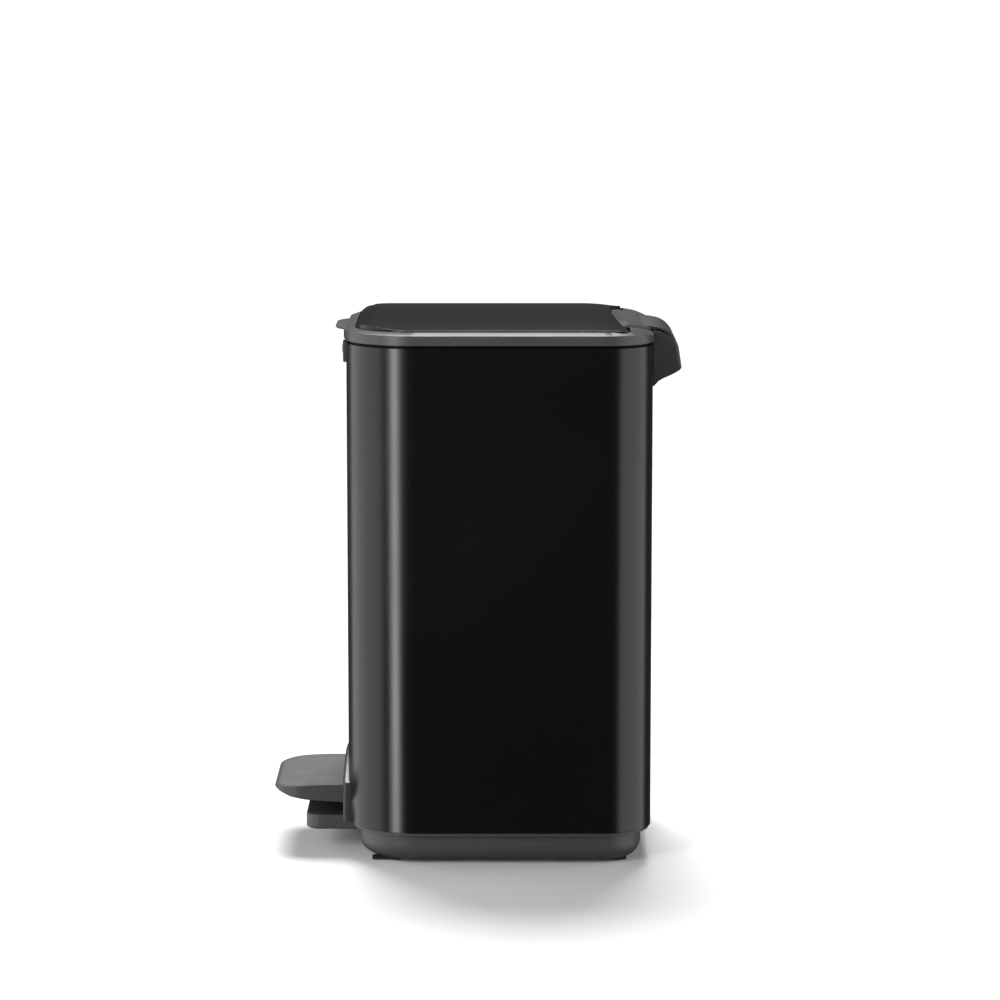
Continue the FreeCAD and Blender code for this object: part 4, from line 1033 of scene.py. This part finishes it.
@dataclass
class Lid:
    """Lid frame, crowned panel, hood over the hinge and the raised band behind the panel."""

    crown: Crown = field(default_factory=Crown)
    low: float = 463.6
    side_top: float = 472.0
    top: float = 474.5
    slope_width: float = 7.2
    grow: float = 0.8
    gap: float = 1.3
    recess_floor: float = 470.8
    opening: Outline = Outline(109.0, 118.0, 105.0, 48.0, 14.0)
    opening_low: float = 455.0
    above: float = 490.0
    sweep_half: float = 55.0
    sweep_radius: float = 17.8
    tab_half: float = 27.0
    tab_side: Line = ((-128.0, 468.4), (-140.0, 468.4), (-143.5, 469.0), (-146.0, 470.0), (-146.0, 471.4),
                      (-142.5, 472.0), (-128.0, 472.0))
    tab_tip: float = -144.0
    tab_taper: float = 0.84
    tab_root: float = -131.0
    tab_flare: float = 1.8
    rear_fall: Line = ((112.0, 474.6), (123.0, 472.9), (140.0, 468.2))
    rear_middle: float = 99.4
    panel_low: float = 471.2
    panel_rim: float = 0.55
    flat: float = 480.0
    hood_half: float = 50.0
    hood_side: Line = (
        (112.0, 470.4), (112.0, 475.2), (118.0, 475.1), (124.0, 474.6), (130.0, 473.8), (137.0, 473.2),
        (143.0, 472.0), (147.0, 470.5), (150.5, 468.3), (153.5, 465.4), (156.0, 462.2), (157.6, 458.6),
        (158.4, 456.2), (158.6, 454.2))
    hood_wall: tuple[float, float] = (2.2, 1.2)
    hood_roll: float = 137.0
    hood_heel: tuple[float, float] = (134.0, 470.4)
    band_low: float = 469.5
    band_rim: float = 0.8
    band_drop: float = 3.2
    band_plan: Line = ((78.0, 90.0), (78.0, 110.0), (69.0, 113.5), (58.0, 125.0), (50.0, 134.0))
    band_fall: Line = ((108.0, 478.4), (124.0, 475.1), (140.0, 470.3))

    def rear_curve(self, name: str, offset: float) -> Workpiece:
        """Build the round cutter that shapes the panel's rear edge.

        Args:
            name: Name of the cutter.
            offset: How far it is moved back, in millimetres.

        Returns:
            The cutter.
        """
        bulge = PANEL_PLAN.rear - self.rear_middle
        radius = (PANEL_PLAN.half_width ** 2 + bulge ** 2) / (2 * bulge)
        middle = self.rear_middle + radius + offset
        return Workpiece.bar(name, radius * MM, at(0, middle, 460), at(0, middle, 500), 256)

    def wedge(self, name: str, fall: Line) -> Workpiece:
        """Build the cutter that takes away everything above a falling line.

        Args:
            name: Name of the cutter.
            fall: The line, seen from the side.

        Returns:
            The cutter.
        """
        (start, _), (end, _) = fall[0], fall[-1]
        waste = [*fall, (end, self.above), (start, self.above)]
        return Workpiece.slab(name, waste, 1.1 * BODY_PLAN.half_width)

    def build(self) -> None:
        """Build and dress every visible part of the lid."""
        self.build_frame()
        self.build_panel()
        self.build_hood()

    def build_frame(self) -> None:
        """Build and dress the frame, with its sloping top edge and the finger tab."""
        rim = Workpiece.prism("lid_rim", BODY_PLAN.moved_in(-self.grow), self.low, self.side_top, 28)
        rim.inset(lambda middle, normal: faces_up(normal), self.slope_width)
        flat = BODY_PLAN.moved_in(self.slope_width - self.grow - 0.3)
        rim.move(lambda point: point.z > (self.side_top - 0.1) * MM and flat.holds(point),
                 Vector((0, 0, (self.top - self.side_top) * MM)))
        rim.combine(self.wedge("rim_fall", self.rear_fall), Trim.CUT)
        recess = Workpiece.prism("recess", PANEL_PLAN.moved_in(-self.gap), self.recess_floor, self.above, 20)
        rim.combine(recess, Trim.CUT)
        rim.combine(Workpiece.prism("opening", self.opening, self.opening_low, self.above, 20), Trim.CUT)
        reach = Vector((self.sweep_half * MM, 0, 0))
        sweep = Workpiece.bar("sweep", self.sweep_radius * MM, HINGE - reach, HINGE + reach, 96)
        rim.combine(sweep, Trim.CUT)
        tab = Workpiece.slab("tab", self.tab_side, self.tab_half)
        tip, root = at(0, self.tab_tip, 0), at(0, self.tab_root, 0)
        tab.stretch(lambda point: point.y < tip.y, Vector((self.tab_taper, 1, 1)), tip)
        tab.stretch(lambda point: point.y > root.y, Vector((self.tab_flare, 1, 1)), root)
        rim.combine(tab, Trim.JOIN)
        rim.clean().soften(0.7, 3, 40).finish(32)
        dress(rim, Finish.FRAME, "lid", "lid_frame")

    def build_panel(self) -> None:
        """Build and dress the crowned panel."""
        panel = Workpiece.prism("lid_cover", PANEL_PLAN, self.panel_low, self.flat, 20)
        panel.combine(self.rear_curve("panel_rear", 0.0), Trim.CUT).clean(0.02)
        self.crown.press(panel, self.flat, self.panel_rim).finish(40)
        dress(panel, Finish.LID_PAINT, "lid", "lid_panel")

    def build_hood(self) -> None:
        """Build and dress the hood with its raised band."""
        run, fall = self.hood_wall
        inner = [(y - run, z - fall) for y, z in reversed(self.hood_side) if y > self.hood_roll]
        hood = Workpiece.slab("hood_roll", [*self.hood_side, *inner, self.hood_heel], self.hood_half)
        hood.soften(0.5, 2, 40)
        plan = [*self.band_plan, *((-x, y) for x, y in reversed(self.band_plan))]
        band = Workpiece.profile("rear_band", [at(x, y, self.band_low) for x, y in plan],
                                 Vector((0, 0, (self.flat - self.band_low) * MM)))
        band.combine(self.rear_curve("band_front", self.gap), Trim.KEEP).clean(0.02)
        self.crown.press(band, self.flat, self.band_rim, self.band_drop)
        band.combine(self.wedge("band_falls", self.band_fall), Trim.CUT)
        band.gather(hood).finish(32)
        dress(band, Finish.FRAME, "lid", "hinge_hood")


# --- rear housing
@dataclass
class Housing:
    """Fixed housing behind the lid: hinge bearings above and the carrying grip below."""

    half: float = 54.2
    inner: float = 50.7
    side: Line = (
        (136.5, 420.0), (138.4, 421.6), (141.0, 424.6), (145.0, 427.1), (150.0, 429.3), (156.0, 432.2),
        (160.4, 435.0), (161.7, 437.0), (160.9, 443.0), (159.9, 449.5), (158.9, 455.6), (157.6, 458.8),
        (153.8, 463.2), (146.0, 467.4), (136.5, 470.4))
    corner_from: float = 156.0
    corner: tuple[float, float] = (436.0, 460.0)
    corner_round: float = 3.2
    pad_low: Place = (-46.0, 135.0, 424.5)
    pad_high: Place = (46.0, 138.0, 441.0)
    cavity: Line = ((133.0, 441.0), (160.0, 441.0), (160.0, 455.8), (175.0, 455.8), (175.0, 490.0),
                    (133.0, 490.0))
    grip: Line = ((138.7, 400.0), (159.4, 400.0), (159.4, 438.0), (138.7, 438.0))

    def build(self) -> None:
        """Build and dress the housing."""
        shell = Workpiece.slab("hinge_housing", self.side, self.half)
        low, high = self.corner
        back = at(0, self.corner_from, 0).y
        shell.bevel(lambda middle, way: middle.y > back and abs(abs(middle.x) - self.half * MM) < 0.1 * MM
                    and low * MM < middle.z < high * MM, self.corner_round, 6)
        shell.combine(Workpiece.block("pad", at(*self.pad_low), at(*self.pad_high)), Trim.JOIN)
        shell.combine(Workpiece.slab("cavity", self.cavity, self.inner), Trim.CUT)
        shell.combine(Workpiece.slab("grip", self.grip, self.inner), Trim.CUT)
        shell.clean(0.02).soften(0.6, 3, 40).finish(35)
        dress(shell, Finish.HOUSING, "cabinet", "rear_housing")


# --- small parts
@dataclass
class Lock:
    """Plate of the sliding lid lock under the finger tab."""

    plate_low: Place = (-27.0, -139.6, 438.0)
    plate_high: Place = (27.0, -135.0, 458.0)
    corner: float = 8.0
    track_low: Place = (-16.5, -145.0, 444.0)
    track_high: Place = (16.5, -137.0, 470.0)

    def build(self) -> None:
        """Build and dress the plate."""
        low, high = at(*self.plate_low), at(*self.plate_high)
        plate = Workpiece.block("lock_face", low, high)
        plate.bevel(lambda middle, way: abs(way.y) > ALIGNED * way.length and middle.z < low.z + MM,
                    self.corner, 8)
        plate.combine(Workpiece.block("track", at(*self.track_low), at(*self.track_high)), Trim.CUT)
        plate.soften(0.8, 3, 50).finish()
        dress(plate, Finish.FRAME, "cabinet", "lock_plate")


@dataclass
class Spring:
    """The coiled return spring on the pedal's axle."""

    turns: float = 4.0
    radius: float = 5.1
    wire: float = 1.2
    steps: int = 96

    def build(self) -> None:
        """Build and dress the coil."""
        low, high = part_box("return_spring")
        middle = (low + high) / 2
        bpy.ops.object.select_all(action="DESELECT")
        bpy.ops.mesh.primitive_circle_add(vertices=10, radius=self.wire * MM / 2, fill_type="NOTHING",
                                          location=(0, 0, 0), rotation=(math.pi / 2, 0, 0))
        coil = Workpiece.started("return_coil")
        coil.move(lambda point: True, Vector((self.radius * MM, 0, 0)))
        coil.modify("SCREW", angle=2 * math.pi * self.turns, steps=self.steps, render_steps=self.steps,
                    screw_offset=high.x - low.x - self.wire * MM, axis="Z", use_merge_vertices=False)
        with coil.editing(Element.EDGES):
            bpy.ops.mesh.select_all(action="DESELECT")
            bpy.ops.mesh.select_non_manifold()
            bpy.ops.mesh.edge_face_add()
        coil.focus()
        coil.thing.rotation_euler = (0, math.pi / 2, 0)
        coil.thing.location = (low.x + self.wire * MM / 2, middle.y, middle.z)
        bpy.ops.object.transform_apply(location=True, rotation=True, scale=True)
        coil.turn_outwards().finish(60)
        dress(coil, Finish.BRIGHT, "cabinet", "return_spring")


# --- studio
@dataclass(frozen=True)
class Softbox:
    """One soft light, aimed at the middle of the body."""

    name: str
    place: Place
    size: tuple[float, float]
    radiance: float

    def hang(self, target: Vector) -> None:
        """Hang the light.

        Args:
            target: The point that it faces.
        """
        light = bpy.data.lights.new(self.name, "AREA")
        light.shape = "RECTANGLE"
        light.size, light.size_y = self.size
        light.energy = self.radiance * math.pi * light.size * light.size_y
        holder = bpy.data.objects.new(self.name, light)
        holder.location = at(*self.place)
        holder.rotation_euler = (holder.location - target).to_track_quat("Z", "Y").to_euler()
        holder.visible_camera = False
        bpy.context.scene.collection.objects.link(holder)


@dataclass
class Studio:
    """Pale floor, soft lights and the camera."""

    camera_place: Place = (3342.5, 0.7, 802.8)
    tilt: float = 8.38
    lens: float = 134.42
    sensor: float = 36.0
    sight: float = 300.0
    floor_size: float = 240.0
    floor_tones: tuple[float, float] = (0.86, 0.89)
    surroundings: float = 0.07
    top_energy: float = 4.2
    top_angle: float = 30.0
    top_turn: Place = (3.0, -30.0, 0.0)
    target: Place = (0.0, 0.0, 240.0)
    boxes: tuple[Softbox, ...] = (
        Softbox("strip_left", (1645.0, -1185.0, 240.0), (0.38, 3.0), 13.0),
        Softbox("bank_left", (-150.0, -2000.0, 240.0), (3.0, 3.2), 1.7),
        Softbox("bank_right", (560.0, 2060.0, 240.0), (3.2, 3.2), 1.8))

    def build(self) -> None:
        """Build the floor, the lights and the camera."""
        self.build_floor()
        self.build_lights()
        camera = bpy.data.cameras.new("camera")
        camera.lens = self.lens
        camera.sensor_width = self.sensor
        camera.clip_end = self.sight
        holder = bpy.data.objects.new("camera", camera)
        holder.location = at(*self.camera_place)
        holder.rotation_euler = (math.radians(90 - self.tilt), 0, math.radians(90))
        bpy.context.scene.collection.objects.link(holder)
        bpy.context.scene.camera = holder

    def build_floor(self) -> None:
        """Build the pale floor."""
        bpy.ops.object.select_all(action="DESELECT")
        bpy.ops.mesh.primitive_plane_add(size=self.floor_size, location=(0, 0, 0))
        floor = bpy.context.object
        floor.name = "studio_floor"
        paint = Paint("studio_floor")
        darker, lighter = self.floor_tones
        paint.set(Base_Color=paint.blend(paint.noise(1.5), tone(darker), tone(lighter)), Roughness=0.9,
                  Specular_IOR_Level=0.1)
        floor.data.materials.append(paint.material)
        floor.visible_glossy = False

    def build_lights(self) -> None:
        """Build the dim surroundings, the top light and the softboxes."""
        world = bpy.data.worlds.new("studio")
        world.use_nodes = True
        background = world.node_tree.nodes["Background"]
        background.inputs["Color"].default_value = (1, 1, 1, 1)
        background.inputs["Strength"].default_value = self.surroundings
        bpy.context.scene.world = world
        sun = bpy.data.lights.new("top_light", "SUN")
        sun.energy = self.top_energy
        sun.angle = math.radians(self.top_angle)
        holder = bpy.data.objects.new("top_light", sun)
        holder.rotation_euler = [math.radians(turn) for turn in self.top_turn]
        bpy.context.scene.collection.objects.link(holder)
        for box in self.boxes:
            box.hang(at(*self.target))
        bpy.context.scene.view_settings.view_transform = "Standard"


AS_PACKED: tuple[tuple[Finish, tuple[str, ...]], ...] = (
    # The top collar takes the near-black finish that paints the shade in the gap under the lid.
    (Finish.COLLAR, ("top_collar",)),
    (Finish.INNER, ("lid_liner", "rod_head", "rod_guide_lower", "rod_guide_upper", "axle_bracket_left",
                    "axle_bracket_right", "damper_body")),
    (Finish.FOOT, ("foot_front_left", "foot_front_right", "foot_rear_left", "foot_rear_right")),
    (Finish.SEAL, ("lid_seal",)),
    (Finish.BUCKET, ("inner_bucket",)),
    (Finish.WIRE, ("bucket_handle",)),
    (Finish.PLATED, ("pedal_lever", "lid_hinge_bracket")),
    (Finish.BRIGHT, ("pedal_axle", "hinge_pin", "push_rod", "bracket_screws", "housing_screws",
                     "pedal_screws")),
    (Finish.FRAME, ("lock_slider", "lock_lug")),
    (Finish.ACETAL, ("damper_rotor",)),
)


def main() -> None:
    """Build every sub-assembly in turn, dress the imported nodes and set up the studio."""
    logging.basicConfig(level=logging.INFO, format="%(message)s")
    for assembly in (SteelBody(), Base(), Pedal(), Lid(), Housing(), Lock(), Spring()):
        assembly.build()
    for finish, nodes in AS_PACKED:
        redress(finish, *nodes)
    Studio().build()


if __name__ == "__main__":
    main()
